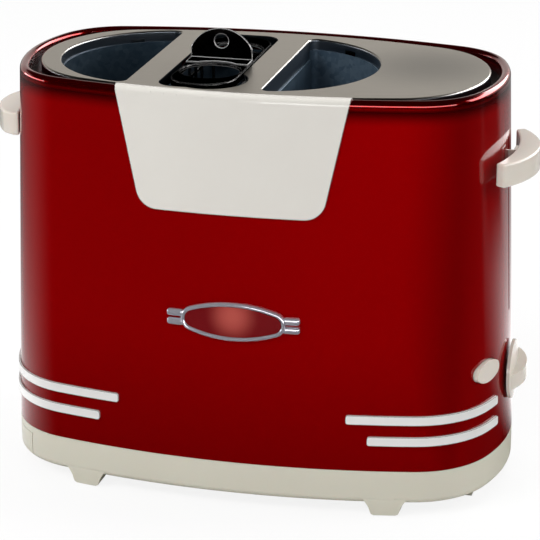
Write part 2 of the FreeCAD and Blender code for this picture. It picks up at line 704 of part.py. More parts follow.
def end_x(y, inset):
    """The end arc at y, a distance inside the outline at the foot of the case."""
    radius = S["end_radius"] - inset
    return S["half_length"] - S["end_radius"] + root(radius * radius - y * y)


def bun_outline(sketch, side, inset):
    """The D of a bun well, or a parallel line inside it; side is 1 for right, -1 for left."""
    flat = S["bun_right_flat"] if side > 0 else S["bun_left_flat"]
    middle = flat + side * (S["bun_depth"] - S["bun_radius"])
    over = S["bun_radius"] - S["bun_depth"] + S["bun_corner"]
    reach = S["bun_radius"] - S["bun_corner"]
    up = root(reach * reach - over * over)
    radius = S["bun_radius"] - inset
    corner = S["bun_corner"] - inset
    far = middle + side * over * radius / reach
    high = up * radius / reach
    edge = flat + side * as_size(inset)
    corners = [(edge, up), (edge, -up), (far, -high), (far, high)]
    draw(sketch, corners, {1: side * corner, 2: side * radius, 3: side * corner})


# ------------------------------------------------------------------------- the case
def make_body_shell():
    """Red case: one sheet, leaning in, its upper edge rolled over and turned down inside."""
    body = new_body("body_shell")
    path = sketch_xy(body, 0)
    case_oval(path, 0)
    section = sketch_xz(body, 0)
    skin = S["sheet"]
    inner_x = CREST_X - S["rim_inner"]
    roll_low = S["rim_top"] - S["rim_inner"]
    draw(section, [
        (S["half_length"], CASE_FOOT),
        (CREST_X + S["rim_outer"], ROLL_START),
        (CREST_X, S["rim_top"]),
        (inner_x, roll_low),
        (inner_x, S["ledge_top"]),
        (inner_x + skin, S["ledge_top"]),
        (inner_x + skin, roll_low),
        (CREST_X, S["rim_top"] - skin),
        (CREST_X + S["rim_outer"] - skin, ROLL_START),
        (S["half_length"] - skin, CASE_FOOT),
    ], {1: S["rim_outer"], 2: S["rim_inner"], 6: skin - S["rim_inner"], 7: skin - S["rim_outer"]})
    swept(body, section, path)
    slot = sketch_yz(body, S["half_length"] + skin)
    slot_end = S["lever_slot_half"] * 0.9
    rounded(slot, -S["lever_slot_half"], S["lever_slot_half"],
            S["lever_slot_low"], S["lever_slot_high"], slot_end)
    circle(slot, 0, S["timer_z"], S["shaft_hole"])
    cut(body, slot, S["case_lean"] + 3 * skin)
    button = button_sketch(body, S["button_proud"] + skin)
    button_outline(button, S["button_gap"])
    cut(body, button, S["button_proud"] + 5 * skin)
    holes = sketch_yz(body, S["case_lean"] + 3 * skin - S["half_length"])
    for sign in (-1, 1):
        circle(holes, sign * S["grip_screw_y"], S["grip_low"] + S["handle_height"] / 2,
               S["screw_radius"] + S["screw_hole_gap"])
    cut(body, holes, S["case_lean"] + 3 * skin)
    return body


def make_panel_ledge():
    """Flat steel ring under the turned-down edge of the case; the top panel stands on it."""
    body = new_body("panel_ledge")
    ring = sketch_xy(body, S["ledge_top"] - S["sheet"])
    case_oval(ring, S["case_lean"] + S["rim_outer"] + S["rim_inner"] - S["ledge_lap"])
    panel_oval(ring, S["ledge_cover"])
    pad(body, ring, S["sheet"])
    return body


def wall_band(body, low, high, gap, rise):
    """A band that lies on the leaning wall, all round."""
    path = sketch_xy(body, 0)
    case_oval(path, 0)
    section = sketch_xz(body, 0)
    draw(section, [
        (wall_x(low) + gap, low),
        (wall_x(low) + gap + rise, low),
        (wall_x(high) + gap + rise, high),
        (wall_x(high) + gap, high),
    ])
    swept(body, section, path)


def keep_front(body, low, high):
    """Cuts away what lies behind the front third of the case."""
    behind = sketch_xy(body, high)
    far = S["half_length"] * 1.2
    rectangle(behind, -far, far, -S["half_depth"] / 2, far)
    cut(body, behind, high - low)


def make_trim_strip(label, side, low, start, stop):
    """A bright strip, bent round the corner of the case."""
    body = new_body(label)
    high = low + S["strip_height"]
    wall_band(body, low, high, S["plate_gap"], S["strip_rise"])
    far = S["half_length"] * 1.2
    away = sketch_xy(body, high + S["sheet"])
    corners = [(-side * far, -far), (side * start, -far), (side * start, stop),
               (side * far, stop), (side * far, far), (-side * far, far)]
    draw(away, corners)
    cut(body, away, S["strip_height"] + 2 * S["sheet"])
    short = float(S["strip_rise"]) * 1.2

    def at_end(edge):
        return edge.Length < short and edge.BoundBox.ZLength < short / 2

    fillet(body, S["strip_end"], at_end)
    return body


def make_front_plate():
    """Ivory plate on the front: follows the wall, hooks over the rim, rounded below."""
    body = new_body("front_plate")
    path = sketch_xy(body, 0)
    case_oval(path, 0)
    section = sketch_xz(body, 0)
    low = S["plate_bottom"]
    back = S["plate_gap"]
    face = S["plate_gap"] + S["plate_sheet"]
    roll_low = S["rim_top"] - S["rim_inner"]
    turn = S["plate_hook"]
    draw(section, [
        (wall_x(low) + back, low),
        (wall_x(low) + face, low),
        (CREST_X + S["rim_outer"] + face, ROLL_START),
        (CREST_X, S["rim_top"] + face),
        (CREST_X - (S["rim_inner"] + face) * sine(turn), roll_low + (S["rim_inner"] + face) * cosine(turn)),
        (CREST_X - (S["rim_inner"] + back) * sine(turn), roll_low + (S["rim_inner"] + back) * cosine(turn)),
        (CREST_X, S["rim_top"] + back),
        (CREST_X + S["rim_outer"] + back, ROLL_START),
    ], {2: S["rim_outer"] + face, 3: S["rim_inner"] + face,
        5: -S["rim_inner"] - back, 6: -S["rim_outer"] - back})
    swept(body, section, path)
    top = S["rim_top"] + 3 * face
    keep_front(body, low - face, top)
    sides = sketch_xz(body, -S["half_depth"] - face)
    far = S["half_length"] * 1.2
    corner = S["plate_corner"]
    slope = (S["plate_high_half"] - S["plate_low_half"]) / (top - low)
    lean = 1 / root(1 + slope * slope)
    middle = S["plate_low_half"] + corner * slope - corner / lean
    for sign in (-1, 1):
        draw(sides, [
            (sign * middle, low - face), (sign * far, low - face), (sign * far, top),
            (sign * S["plate_high_half"], top),
            (sign * (middle + corner * lean), low + corner - corner * slope * lean),
            (sign * middle, low),
        ], {4: -sign * corner})
    cut(body, sides, S["half_depth"] / 2 + 2 * face)
    return body


def make_plaque(label, rise, outline, outer, inner):
    """A piece of the plain oval plaque, curved to lie on the case; outline draws its outer edge."""
    body = new_body(label)
    low = S["badge_z"] - S["badge_half_height"] * 1.3
    high = S["badge_z"] + S["badge_half_height"] * 1.3
    wall_band(body, low, high, S["plate_gap"], rise)
    margin = S["sheet"]
    keep_front(body, low - margin, high + margin)
    face = sketch_xz(body, -S["half_depth"] - rise - margin)
    far = S["half_length"] * 1.2
    rectangle(face, -far, far, low - margin, high + margin)
    for draw_edge, shrink in ((outline, outer), (lens, inner)):
        if shrink is not None:
            draw_edge(face, S["badge_x"], S["badge_z"], S["badge_half_length"] - shrink,
                      S["badge_half_height"] - shrink, S["badge_end_radius"] - shrink)
    cut(body, face, S["half_depth"] / 2 + rise + 2 * margin)
    return body


# ------------------------------------------------------------------------ top panel
def collar_arc(body, side):
    """Shortens the collar round the arc of one bun opening."""
    flat = S["bun_right_flat"] if side > 0 else S["bun_left_flat"]
    reach = S["bun_radius"] + 2 * S["panel_sheet"]
    across = S["bun_radius"] - S["bun_depth"] + S["collar_step"]
    half = root(reach * reach - across * across)
    start = flat + side * S["collar_step"]
    below = sketch_xy(body, ARC_FOOT)
    draw(below, [(start, -half), (start, half)], {0: side * reach})
    cut(body, below, S["collar_depth"])


def collar_slots(body, side):
    """Locking slots through the collar of one bun opening."""
    flat = S["bun_right_flat"] if side > 0 else S["bun_left_flat"]
    middle = flat + side * (S["bun_depth"] - S["bun_radius"])
    low = ARC_FOOT - S["panel_sheet"]
    for sign in (-1, 1):
        slot = sketch_xy(body, low)
        along = (side * cosine(S["collar_slot_turn"]), sign * sine(S["collar_slot_turn"]))
        across = (-along[1], along[0])
        corners = []
        for reach, half in ((-1, -1), (1, -1), (1, 1), (-1, 1)):
            out = S["bun_radius"] + reach * 2 * S["panel_sheet"]
            aside = half * S["collar_slot_width"] / 2
            corners.append((middle + along[0] * out + across[0] * aside,
                            along[1] * out + across[1] * aside))
        draw(slot, corners)
        cut(body, slot, S["collar_slot_height"] + S["panel_sheet"], reverse=True)


def make_top_panel():
    """Brushed steel top: turned-down edge on the ledge, collared bun openings, basket slot."""
    body = new_body("top_panel")
    face = sketch_xy(body, PANEL_UNDER)
    panel_oval(face, 0)
    pad(body, face, S["panel_sheet"])
    edge = sketch_xy(body, S["ledge_top"])
    panel_oval(edge, 0)
    panel_oval(edge, S["panel_sheet"])
    pad(body, edge, PANEL_UNDER - S["ledge_top"])
    fillet(body, S["panel_edge"], lambda item: flat_at(item, S["panel_top"]))
    for side in (-1, 1):
        collar = sketch_xy(body, COLLAR_FOOT)
        bun_outline(collar, side, -S["panel_sheet"])
        pad(body, collar, S["collar_depth"])
        opening = sketch_xy(body, S["panel_top"])
        bun_outline(opening, side, 0)
        cut(body, opening, S["collar_depth"])
        flat = float(S["bun_right_flat"] if side > 0 else S["bun_left_flat"])
        far = flat + side * float(S["bun_depth"])

        def on_opening(item):
            box = item.BoundBox
            inside = min(flat, far) - 0.1 < box.XMin and box.XMax < max(flat, far) + 0.1
            return flat_at(item, S["panel_top"]) and inside

        fillet(body, S["collar_edge"], on_opening)
        collar_arc(body, side)
        collar_slots(body, side)
    slot = sketch_xy(body, S["panel_top"])
    rounded(slot, S["slot_left"], S["slot_right"], S["slot_front"], S["slot_back"], S["slot_corner"])
    cut(body, slot, 2 * S["panel_sheet"])
    notch = sketch_xy(body, S["panel_top"])
    circle(notch, S["notch_x"], S["notch_y"], S["notch_radius"])
    cut(body, notch, 2 * S["panel_sheet"])
    return body


# ------------------------------------------------------------------ base and chassis
def base_block(body, low, high):
    """The solid outline of the base with its rounded lower edge."""
    outline = sketch_xy(body, low)
    case_oval(outline, 0)
    pad(body, outline, high - low)
    fillet(body, S["base_edge"], lambda item: flat_at(item, low))
    hollow = sketch_xy(body, high)
    case_oval(hollow, S["base_wall"])
    cut(body, hollow, high - low - S["base_floor"])


def foot_sketch(body, level, half, depth, inset, side, front):
    """One section of a foot, its outer face parallel to the base wall."""
    sketch = sketch_xy(body, level)
    near = S["foot_place"] - half
    far = S["foot_place"] + half
    outer_near, outer_far = front_y(near, inset), front_y(far, inset)
    corners = [(near, outer_near + depth), (near, outer_near), (far, outer_far), (far, outer_far + depth)]
    radius = S["front_radius"] - inset
    draw(sketch, [(side * x, -front * y) for x, y in corners], {1: -front * side * radius})
    return sketch


def foot_levels():
    """Height, half length, depth and inset of the sections of a foot, from the floor up."""
    sections = []
    for turn in (0, 45, 90):
        sections.append((S["pad_stand"] + S["foot_round"] * (1 - cosine(turn)),
                         S["foot_half"] - S["foot_round"] * (1 - sine(turn)),
                         S["foot_depth"], S["foot_inset"]))
    low = S["pad_stand"] + S["foot_round"]
    high = S["base_bottom"] + S["base_edge"]
    for share in (0.25, 0.5, 0.75, 1):
        spread = S["foot_flare"] * share * root(share)
        depth, inset = S["foot_depth"], S["foot_inset"]
        if share == 1:
            depth, inset = S["base_wall"] * 0.7, S["foot_sink"]
        sections.append((low + (high - low) * share, S["foot_half"] + spread, depth, inset))
    return sections


def make_base_housing():
    """Ivory moulded base: rounded tray with feet, screw bosses and the upstand for the case."""
    body = new_body("base_housing")
    base_block(body, S["base_bottom"], S["base_top"])
    lip = sketch_xy(body, S["base_top"])
    lip_out = S["sheet"] + S["lip_gap"]
    case_oval(lip, lip_out)
    case_oval(lip, lip_out + S["lip_wall"])
    pad(body, lip, S["lip_rise"])
    for side in (-1, 1):
        for front in (-1, 1):
            lofted(body, [foot_sketch(body, *section, side, front) for section in foot_levels()])
    root_level = S["base_bottom"] + S["base_floor"] / 2
    end_sketches = []
    outer = S["half_length"] - S["end_foot_margin"]
    for level, draft in ((root_level, 0), (S["pad_stand"], S["end_foot_draft"])):
        outline = sketch_xy(body, level)
        rectangle(outline, outer - S["end_foot_length"] + draft, outer - draft,
                  draft - S["end_foot_half"], S["end_foot_half"] - draft)
        end_sketches.append(outline)
    lofted(body, end_sketches)
    bosses = sketch_xy(body, S["base_bottom"] + S["base_floor"] / 2)
    for x in (-S["boss_x"], S["boss_x"]):
        for y in (-boss_depth(), boss_depth()):
            circle(bosses, x, y, S["boss_radius"])
    pad(body, bosses, CHASSIS_LOW - S["base_bottom"] - S["base_floor"] / 2)
    for radius, depth in ((S["screw_radius"] + S["screw_hole_gap"], CHASSIS_LOW - S["base_bottom"]),
                          (S["screw_head"] + S["screw_hole_gap"], S["screw_sink"])):
        holes = sketch_xy(body, S["base_bottom"])
        for x in (-S["boss_x"], S["boss_x"]):
            for y in (-boss_depth(), boss_depth()):
                circle(holes, x, y, radius)
        cut(body, holes, depth, reverse=True)
    sockets = sketch_xy(body, S["pad_stand"])
    for x, y in pad_places():
        circle(sockets, x, y, S["pad_radius"] + S["screw_hole_gap"])
    cut(body, sockets, S["pad_recess"] - S["pad_stand"], reverse=True)
    mouth = sketch_xy(body, S["tray_top"])
    far = S["half_length"] * 1.2
    rectangle(mouth, -far, S["tray_seam"], -far, far)
    cut(body, mouth, S["tray_top"])
    cord = sketch_xz(body, -front_y(S["gland_x"] + S["gland_flange"], 2 * S["base_wall"]))
    circle(cord, S["gland_x"], S["gland_z"], S["gland_neck"] + S["gland_seat"])
    cut(body, cord, S["base_wall"] * 4)
    return body


def boss_depth():
    """Screw bosses, half distance along Y."""
    return -front_y(S["boss_x"], S["boss_margin"])


def pad_places():
    """Centres of the four rubber pads."""
    depth = -front_y(S["foot_place"], S["foot_inset"]) - S["foot_depth"] / 2
    return [(x, y) for x in (-S["foot_place"], S["foot_place"]) for y in (-depth, depth)]


def make_foot_pads():
    """Rubber pads pressed into the feet."""
    body = new_body("foot_pads", several=True)
    outline = sketch_xy(body, 0)
    for x, y in pad_places():
        circle(outline, x, y, S["pad_radius"])
    pad(body, outline, S["pad_recess"])
    return body


def make_base_screws():
    """Self-tapping screws, from below through the bosses."""
    body = new_body("base_screws", several=True)
    level = S["base_bottom"] + S["screw_sink"]
    for radius, length, down in ((S["screw_head"], S["screw_head_height"], True),
                                 (S["screw_radius"], CHASSIS_LOW - level, False)):
        outline = sketch_xy(body, level)
        for x in (-S["boss_x"], S["boss_x"]):
            for y in (-boss_depth(), boss_depth()):
                circle(outline, x, y, radius)
        pad(body, outline, length, reverse=down)
    return body


def make_chassis_plate():
    """Steel floor of the hot zone: lies on the upstand, open under each well for crumbs."""
    body = new_body("chassis_plate")
    outline = sketch_xy(body, CHASSIS_LOW)
    case_oval(outline, S["sheet"] + S["lip_gap"] * 2)
    for side in (-1, 1):
        bun_outline(outline, side, S["crumb_margin"])
    margin = S["crumb_margin"]
    rounded(outline, S["sleeve_left"] + margin, S["sleeve_right"] - margin, S["sleeve_front"] + margin,
            S["sleeve_back"] - margin, S["sleeve_corner"] - margin)
    pad(body, outline, S["chassis_sheet"])
    return body


def make_tray_front():
    """Ivory end of the base that comes out with the crumb tray."""
    body = new_body("crumb_tray_front")
    base_block(body, S["base_bottom"], S["tray_top"] - S["tray_gap"])
    rest = sketch_xy(body, S["tray_top"])
    far = S["half_length"] * 1.2
    rectangle(rest, S["tray_seam"] - S["tray_gap"], far, -far, far)
    cut(body, rest, S["tray_top"])
    return body


def pan_outline(sketch, inset):
    """The tray pan in plan, or a parallel line inside it; the outer corners are cut off."""
    inset = as_size(inset)
    left = 2 * S["base_wall"] - end_x(S["tray_half"] / 2, S["base_wall"])
    right = left + S["tray_reach"]
    half = S["tray_half"]
    slant = S["tray_corner"] + inset * (root(as_size(2)) - 1)
    draw(sketch, [
        (right - inset, inset - half), (right - inset, half - inset),
        (left + slant, half - inset), (left + inset, half - slant),
        (left + inset, slant - half), (left + slant, inset - half),
    ])


def make_tray_pan():
    """Crumb pan of thin steel, fixed to the tray front, sliding over the base floor."""
    body = new_body("crumb_tray_pan")
    low = S["base_bottom"] + S["base_floor"] + S["tray_gap"]
    outline = sketch_xy(body, low)
    pan_outline(outline, 0)
    pad(body, outline, S["tray_rise"])
    hollow = sketch_xy(body, low + S["tray_rise"])
    pan_outline(hollow, S["tray_sheet"])
    cut(body, hollow, S["tray_rise"] - S["tray_sheet"])
    return body


# ------------------------------------------------------------------- wells and heaters
def slot_and_windows(body, x, columns):
    """Opens a flat wall at x: one slot for the lifter and heat windows beside it."""
    openings = sketch_yz(body, x + S["well_sheet"])
    rectangle(openings, -S["bar_slot"], S["bar_slot"], SLOT_LOW, SLOT_HIGH)
    for column in range(1, columns + 1):
        for sign in (-1, 1):
            middle = sign * (S["window_pitch"] * column)
            rectangle(openings, middle - S["window_width"] / 2, middle + S["window_width"] / 2,
                      S["window_low"], S["window_high"])
    cut(body, openings, 3 * S["well_sheet"])


def flat_half():
    """Half width of a bun well's flat wall, up to its corners."""
    over = S["bun_radius"] - S["bun_depth"] + S["bun_corner"]
    reach = S["bun_radius"] - S["bun_corner"]
    return root(reach * reach - over * over)


def make_bun_chamber(label, side):
    """Round wall of a bun well, galvanised sheet from the chassis plate up into its collar."""
    body = new_body(label)
    wall = sketch_xy(body, CHASSIS_TOP)
    bun_outline(wall, side, S["well_gap"])
    bun_outline(wall, side, S["well_gap"] + S["well_sheet"])
    top = ARC_FOOT + S["well_overlap"]
    pad(body, wall, top - CHASSIS_TOP)
    flat = S["bun_right_flat"] if side > 0 else S["bun_left_flat"]
    door = sketch_xy(body, top)
    edges = sorted((flat, flat + side * (S["well_gap"] + S["well_sheet"] * 1.5)), key=float)
    rectangle(door, *edges, -flat_half(), flat_half())
    cut(body, door, top - CHASSIS_TOP)
    if side > 0:
        arc = sketch_yz(body, flat + S["bun_depth"] + S["well_sheet"])
        rectangle(arc, -S["bar_slot"], S["bar_slot"], SLOT_LOW, SLOT_HIGH)
        cut(body, arc, 4 * S["well_sheet"])
    return body


def make_bun_guard(label, side):
    """Flat wall of a bun well: galvanised plate with heat windows, facing the heater."""
    body = new_body(label)
    flat = S["bun_right_flat"] if side > 0 else S["bun_left_flat"]
    edges = sorted((flat + side * S["well_gap"], flat + side * (S["well_gap"] + S["well_sheet"])), key=float)
    plate = sketch_xy(body, CHASSIS_TOP)
    half = flat_half() - S["sleeve_seam"]
    rectangle(plate, *edges, -half, half)
    pad(body, plate, COLLAR_FOOT + S["well_overlap"] - CHASSIS_TOP)
    slot_and_windows(body, edges[1], 3)
    return body


def make_sausage_guard(label, side):
    """Flat side of the sausage well: galvanised plate with heat windows."""
    body = new_body(label)
    left = S["sleeve_right"] - S["well_sheet"] if side > 0 else S["sleeve_left"]
    plate = sketch_xy(body, CHASSIS_TOP)
    rectangle(plate, left, left + S["well_sheet"], S["sleeve_front"] + S["sleeve_corner"],
              S["sleeve_back"] - S["sleeve_corner"])
    pad(body, plate, S["sleeve_top"] - CHASSIS_TOP)
    slot_and_windows(body, left + S["well_sheet"], 3)
    return body


def make_sausage_end(label, front):
    """Closed end of the sausage well: a plate bent round both corners."""
    body = new_body(label)
    skin, corner, seam = S["well_sheet"], S["sleeve_corner"], S["sleeve_seam"]
    left, right = S["sleeve_left"], S["sleeve_right"]
    wall = sketch_xy(body, CHASSIS_TOP)
    rounded(wall, left, right, S["sleeve_front"], S["sleeve_back"], corner)
    rounded(wall, left + skin, right - skin, S["sleeve_front"] + skin, S["sleeve_back"] - skin,
            corner - skin)
    pad(body, wall, S["sleeve_top"] - CHASSIS_TOP)
    rest = sketch_xy(body, S["sleeve_top"])
    near, far = S["sleeve_back"] - corner + seam, S["sleeve_front"] - skin
    if front > 0:
        near, far = S["sleeve_back"] + skin, S["sleeve_front"] + corner - seam
    rectangle(rest, left - skin, right + skin, far, near)
    cut(body, rest, S["sleeve_top"] - CHASSIS_TOP)
    return body


def make_heater_board(label, x):
    """Mica board that carries the heating ribbon, slotted for the lifter."""
    body = new_body(label)
    outline = sketch_yz(body, x - S["mica"] / 2)
    draw(outline, [
        (-S["mica_half"], CHASSIS_TOP), (-S["bar_slot"], CHASSIS_TOP), (-S["bar_slot"], SLOT_HIGH),
        (S["bar_slot"], SLOT_HIGH), (S["bar_slot"], CHASSIS_TOP), (S["mica_half"], CHASSIS_TOP),
        (S["mica_half"], S["mica_top"]), (-S["mica_half"], S["mica_top"]),
    ])
    pad(body, outline, S["mica"])
    return body


def winding(body, x, level, front, back):
    """One flat turn of heating ribbon round the board."""
    turn = sketch_xy(body, level)
    half = S["mica"] / 2
    thick = S["ribbon"]
    rectangle(turn, x - half - thick, x + half + thick, front - thick, back + thick)
    rectangle(turn, x - half, x + half, front, back)
    pad(body, turn, S["ribbon_height"])


def make_heater_wires(label, x):
    """Turns of heating ribbon: full width above the lifter slot, one set on each leg below."""
    body = new_body(label, several=True)
    rows = int((float(SLOT_HIGH) - float(S["ribbon_first"])) // float(S["ribbon_pitch"]))
    for row in range(rows):
        level = S["ribbon_first"] + row * S["ribbon_pitch"]
        for sign in (-1, 1):
            edges = sorted((sign * S["bar_slot"], sign * S["mica_half"]), key=float)
            winding(body, x, level, *edges)
    rows = int((float(S["mica_top"]) - float(S["ribbon_upper"])) // float(S["ribbon_pitch"])) + 1
    for row in range(rows):
        winding(body, x, S["ribbon_upper"] + row * S["ribbon_pitch"], -S["mica_half"], S["mica_half"])
    return body


# ------------------------------------------------------------------- sausage basket
def basket_outline(sketch, inset):
    """The rounded outline of the basket's top frame, or a parallel line inside it."""
    half, length = S["basket_half_width"] - inset, S["basket_half_length"] - inset
    rounded(sketch, S["basket_x"] - half, S["basket_x"] + half, -length, length,
            S["basket_corner"] - inset)


def make_basket_frame():
    """Polished top frame of the basket: two sausage holes and turned-down edges."""
    body = new_body("basket_frame")
    face = sketch_xy(body, BASKET_UNDER)
    basket_outline(face, 0)
    pad(body, face, S["basket_sheet"])
    edge = sketch_xy(body, S["basket_top"] - S["basket_flange"])
    basket_outline(edge, 0)
    basket_outline(edge, S["basket_sheet"])
    pad(body, edge, S["basket_flange"] - S["basket_sheet"])
    lips = sketch_xy(body, S["basket_top"] - S["ring_lip"])
    holes = sketch_xy(body, S["basket_top"])
    for sign in (-1, 1):
        circle(lips, S["basket_x"], sign * S["ring_place"], S["ring_radius"] + S["basket_sheet"] * 0.75)
        circle(holes, S["basket_x"], sign * S["ring_place"], S["ring_radius"])
    pad(body, lips, S["ring_lip"])
    cut(body, holes, S["ring_lip"])
    fillet(body, S["basket_edge"], lambda item: flat_at(item, S["basket_top"]))
    return body


def make_basket_tab():
    """Polished lifting tab: a foot on the frame and an arched plate with a finger hole."""
    body = new_body("basket_tab")
    skin = S["basket_sheet"]
    top = S["basket_top"] + S["tab_height"]
    rise = root(S["tab_arch"] * S["tab_arch"] - S["tab_half"] * S["tab_half"])
    shoulder = top - S["tab_arch"] + rise
    plate = sketch_xz(body, 0)
    left, right = S["basket_x"] - S["tab_half"], S["basket_x"] + S["tab_half"]
    draw(plate, [(left, S["basket_top"]), (right, S["basket_top"]), (right, shoulder),
                 (S["basket_x"], top), (left, shoulder)], {2: S["tab_arch"], 3: S["tab_arch"]})
    circle(plate, S["basket_x"], S["basket_top"] + S["tab_hole_rise"], S["tab_hole"])
    pad(body, plate, skin)
    foot = sketch_xy(body, S["basket_top"])
    rectangle(foot, left, right, -S["tab_foot"], 0)
    pad(body, foot, skin)
    ring = sketch_xy(body, S["basket_top"] + skin)
    circle(ring, S["basket_x"], -S["ring_place"], S["ring_radius"] + S["basket_edge"])
    cut(body, ring, skin)
    return body


def make_basket_floor():
    """Floor of the basket with two drip holes."""
    body = new_body("basket_floor")
    floor = sketch_xy(body, CAGE_LOW)
    basket_outline(floor, S["cage_inset"])
    for sign in (-1, 1):
        circle(floor, S["basket_x"], sign * S["ring_place"], S["cage_floor_hole"])
    pad(body, floor, S["cage_floor"])
    return body


def make_basket_hoops():
    """Two flat steel hoops round the basket."""
    body = new_body("basket_hoops", several=True)
    hoops = [S["cage_middle"], S["cage_hoop"]]
    for level in hoops:
        hoop = sketch_xy(body, level)
        basket_outline(hoop, S["cage_inset"])
        basket_outline(hoop, S["cage_inset"] + S["cage_strip"])
        pad(body, hoop, S["cage_strip_height"])
    return body


def make_basket_wires():
    """Upright wires, welded inside the hoops, from the floor to the top frame."""
    body = new_body("basket_wires", several=True)
    wires = sketch_xy(body, CAGE_LOW + S["cage_floor"])
    inner = S["cage_inset"] + S["cage_strip"] + S["cage_weld"] + S["cage_wire"]
    side = S["basket_half_width"] - inner
    rows = [as_size(0)]
    rows += [hole * S["ring_place"] + step * S["cage_wire_pitch"] for hole in (-1, 1) for step in (-1, 1)]
    for row in rows:
        for sign in (-1, 1):
            circle(wires, S["basket_x"] + sign * side, row, S["cage_wire"])
    for sign in (-1, 1):
        circle(wires, S["basket_x"], sign * (S["basket_half_length"] - inner), S["cage_wire"])
    pad(body, wires, BASKET_UNDER - CAGE_LOW - S["cage_floor"])
    return body


# --------------------------------------------------------------- lifter and carriage
def make_lifter_bar():
    """Flat steel bar through all wells, with an upright to the carriage."""
    body = new_body("lifter_bar")
    outline = sketch_xz(body, S["bar_half"])
    right = UPRIGHT_X + S["upright"]
    draw(outline, [(S["bar_left"], BAR_LOW), (right, BAR_LOW), (right, S["block_high"]),
                   (UPRIGHT_X, S["block_high"]), (UPRIGHT_X, S["bar_top"]), (S["bar_left"], S["bar_top"])])
    pad(body, outline, 2 * S["bar_half"])
    return body


def make_bun_platform(label, side):
    """D-shaped platform that carries a bun, slotted for crumbs."""
    body = new_body(label)
    inset = S["well_gap"] + S["well_sheet"] + S["platform_gap"]
    outline = sketch_xy(body, S["bar_top"])
    bun_outline(outline, side, inset)
    flat = S["bun_right_flat"] if side > 0 else S["bun_left_flat"]
    for sign in (-1, 1):
        for row in (1, 2):
            middle = sign * (S["window_pitch"] * row)
            near = flat + side * (inset + S["platform_slot"])
            far = flat + side * (S["bun_depth"] - inset - S["platform_slot"] * (row + 1))
            edges = sorted((near, far), key=float)
            rectangle(outline, *edges, middle - S["platform_slot"] / 2, middle + S["platform_slot"] / 2)
    pad(body, outline, S["platform_sheet"])
    return body


def make_sausage_platform():
    """Platform that the basket stands on."""
    body = new_body("sausage_platform")
    outline = sketch_xy(body, S["bar_top"])
    basket_outline(outline, 0)
    for sign in (-1, 1):
        circle(outline, S["basket_x"], sign * S["ring_place"], S["cage_floor_hole"] * 0.8)
    pad(body, outline, S["platform_sheet"])
    return body


def make_carriage_block():
    """Moulded slider on the two guide rods."""
    body = new_body("carriage_block")
    outline = sketch_xy(body, S["block_low"])
    half_x, half_y = S["block_half_x"], S["block_half_y"]
    rounded(outline, S["rod_x"] - half_x, S["rod_x"] + half_x, -half_y, half_y, S["spring_wire"] * 4)
    for sign in (-1, 1):
        circle(outline, S["rod_x"], sign * S["rod_y"], S["rod_radius"] + S["rod_fit"])
    pad(body, outline, S["block_high"] - S["block_low"])
    groove = sketch_xz(body, -S["arm_half"])
    rectangle(groove, S["rod_x"], S["rod_x"] + 2 * half_x, S["arm_low"], S["arm_high"])
    cut(body, groove, 2 * S["arm_half"])
    return body


def make_guide_rods():
    """Two ground steel rods between the flanges of the mechanism frame."""
    body = new_body("guide_rods", several=True)
    outline = sketch_xy(body, CHASSIS_TOP + S["frame_sheet"])
    for sign in (-1, 1):
        circle(outline, S["rod_x"], sign * S["rod_y"], S["rod_radius"])
    pad(body, outline, FRAME_TOP - CHASSIS_TOP - 2 * S["frame_sheet"])
    return body


def make_mechanism_frame():
    """Steel channel that holds the guide rods, slotted for the lifter."""
    body = new_body("mechanism_frame")
    side = sketch_xz(body, S["frame_half"])
    skin = S["frame_sheet"]
    right = FRAME_X + S["frame_reach"] + skin
    draw(side, [(FRAME_X, CHASSIS_TOP), (right, CHASSIS_TOP), (right, CHASSIS_TOP + skin),
                (FRAME_X + skin, CHASSIS_TOP + skin), (FRAME_X + skin, FRAME_TOP - skin),
                (right, FRAME_TOP - skin), (right, FRAME_TOP), (FRAME_X, FRAME_TOP)])
    pad(body, side, 2 * S["frame_half"])
    slot = sketch_yz(body, FRAME_X + 2 * skin)
    rectangle(slot, -S["bar_slot"], S["bar_slot"], SLOT_LOW, SLOT_HIGH)
    cut(body, slot, 3 * skin)
    return body


def make_return_springs():
    """Two compression springs on the guide rods, under the carriage."""
    low = CHASSIS_TOP + S["frame_sheet"] + S["spring_wire"] + S["spring_seat"]
    high = S["block_low"] - S["spring_wire"] - S["spring_seat"]
    height = float(high - low)
    mean, wire = float(S["spring_radius"]), float(S["spring_wire"])
    coils = []
    for sign in (-1, 1):
        helix = Part.makeHelix(height / float(S["spring_turns"]), height, mean)
        ring = Part.Circle(Vector(mean, 0, 0), Vector(0, 1, 0), wire)
        coil = Part.Wire(helix).makePipeShell([Part.Wire(ring.toShape())], True, True)
        coil.translate(Vector(float(S["rod_x"]), sign * float(S["rod_y"]), float(low)))
        coils.append(Part.Solid(coil) if coil.ShapeType == "Shell" else coil)
    springs = doc.addObject("Part::Feature", "return_springs")
    springs.Label = "return_springs"
    springs.Shape = Part.makeCompound(coils)
    return springs


def make_keeper_plate():
    """Steel plate on the carriage that the electromagnet holds."""
    body = new_body("keeper_plate")
    left = S["rod_x"] + S["block_half_x"]
    outline = sketch_xy(body, S["block_low"])
    rectangle(outline, left, left + S["keeper_reach"], -S["keeper_half"], S["keeper_half"])
    pad(body, outline, S["keeper"])
    return body


def magnet_top():
    """Upper face of the magnet yoke: just under the keeper when the lever is down."""
    return S["block_low"] - S["travel"] - S["magnet_gap"]


def coil_thickness():
    """Room for the winding between the legs of the yoke."""
    return S["keeper_half"] - S["magnet_leg"] * 1.5 - 2 * S["screw_hole_gap"]


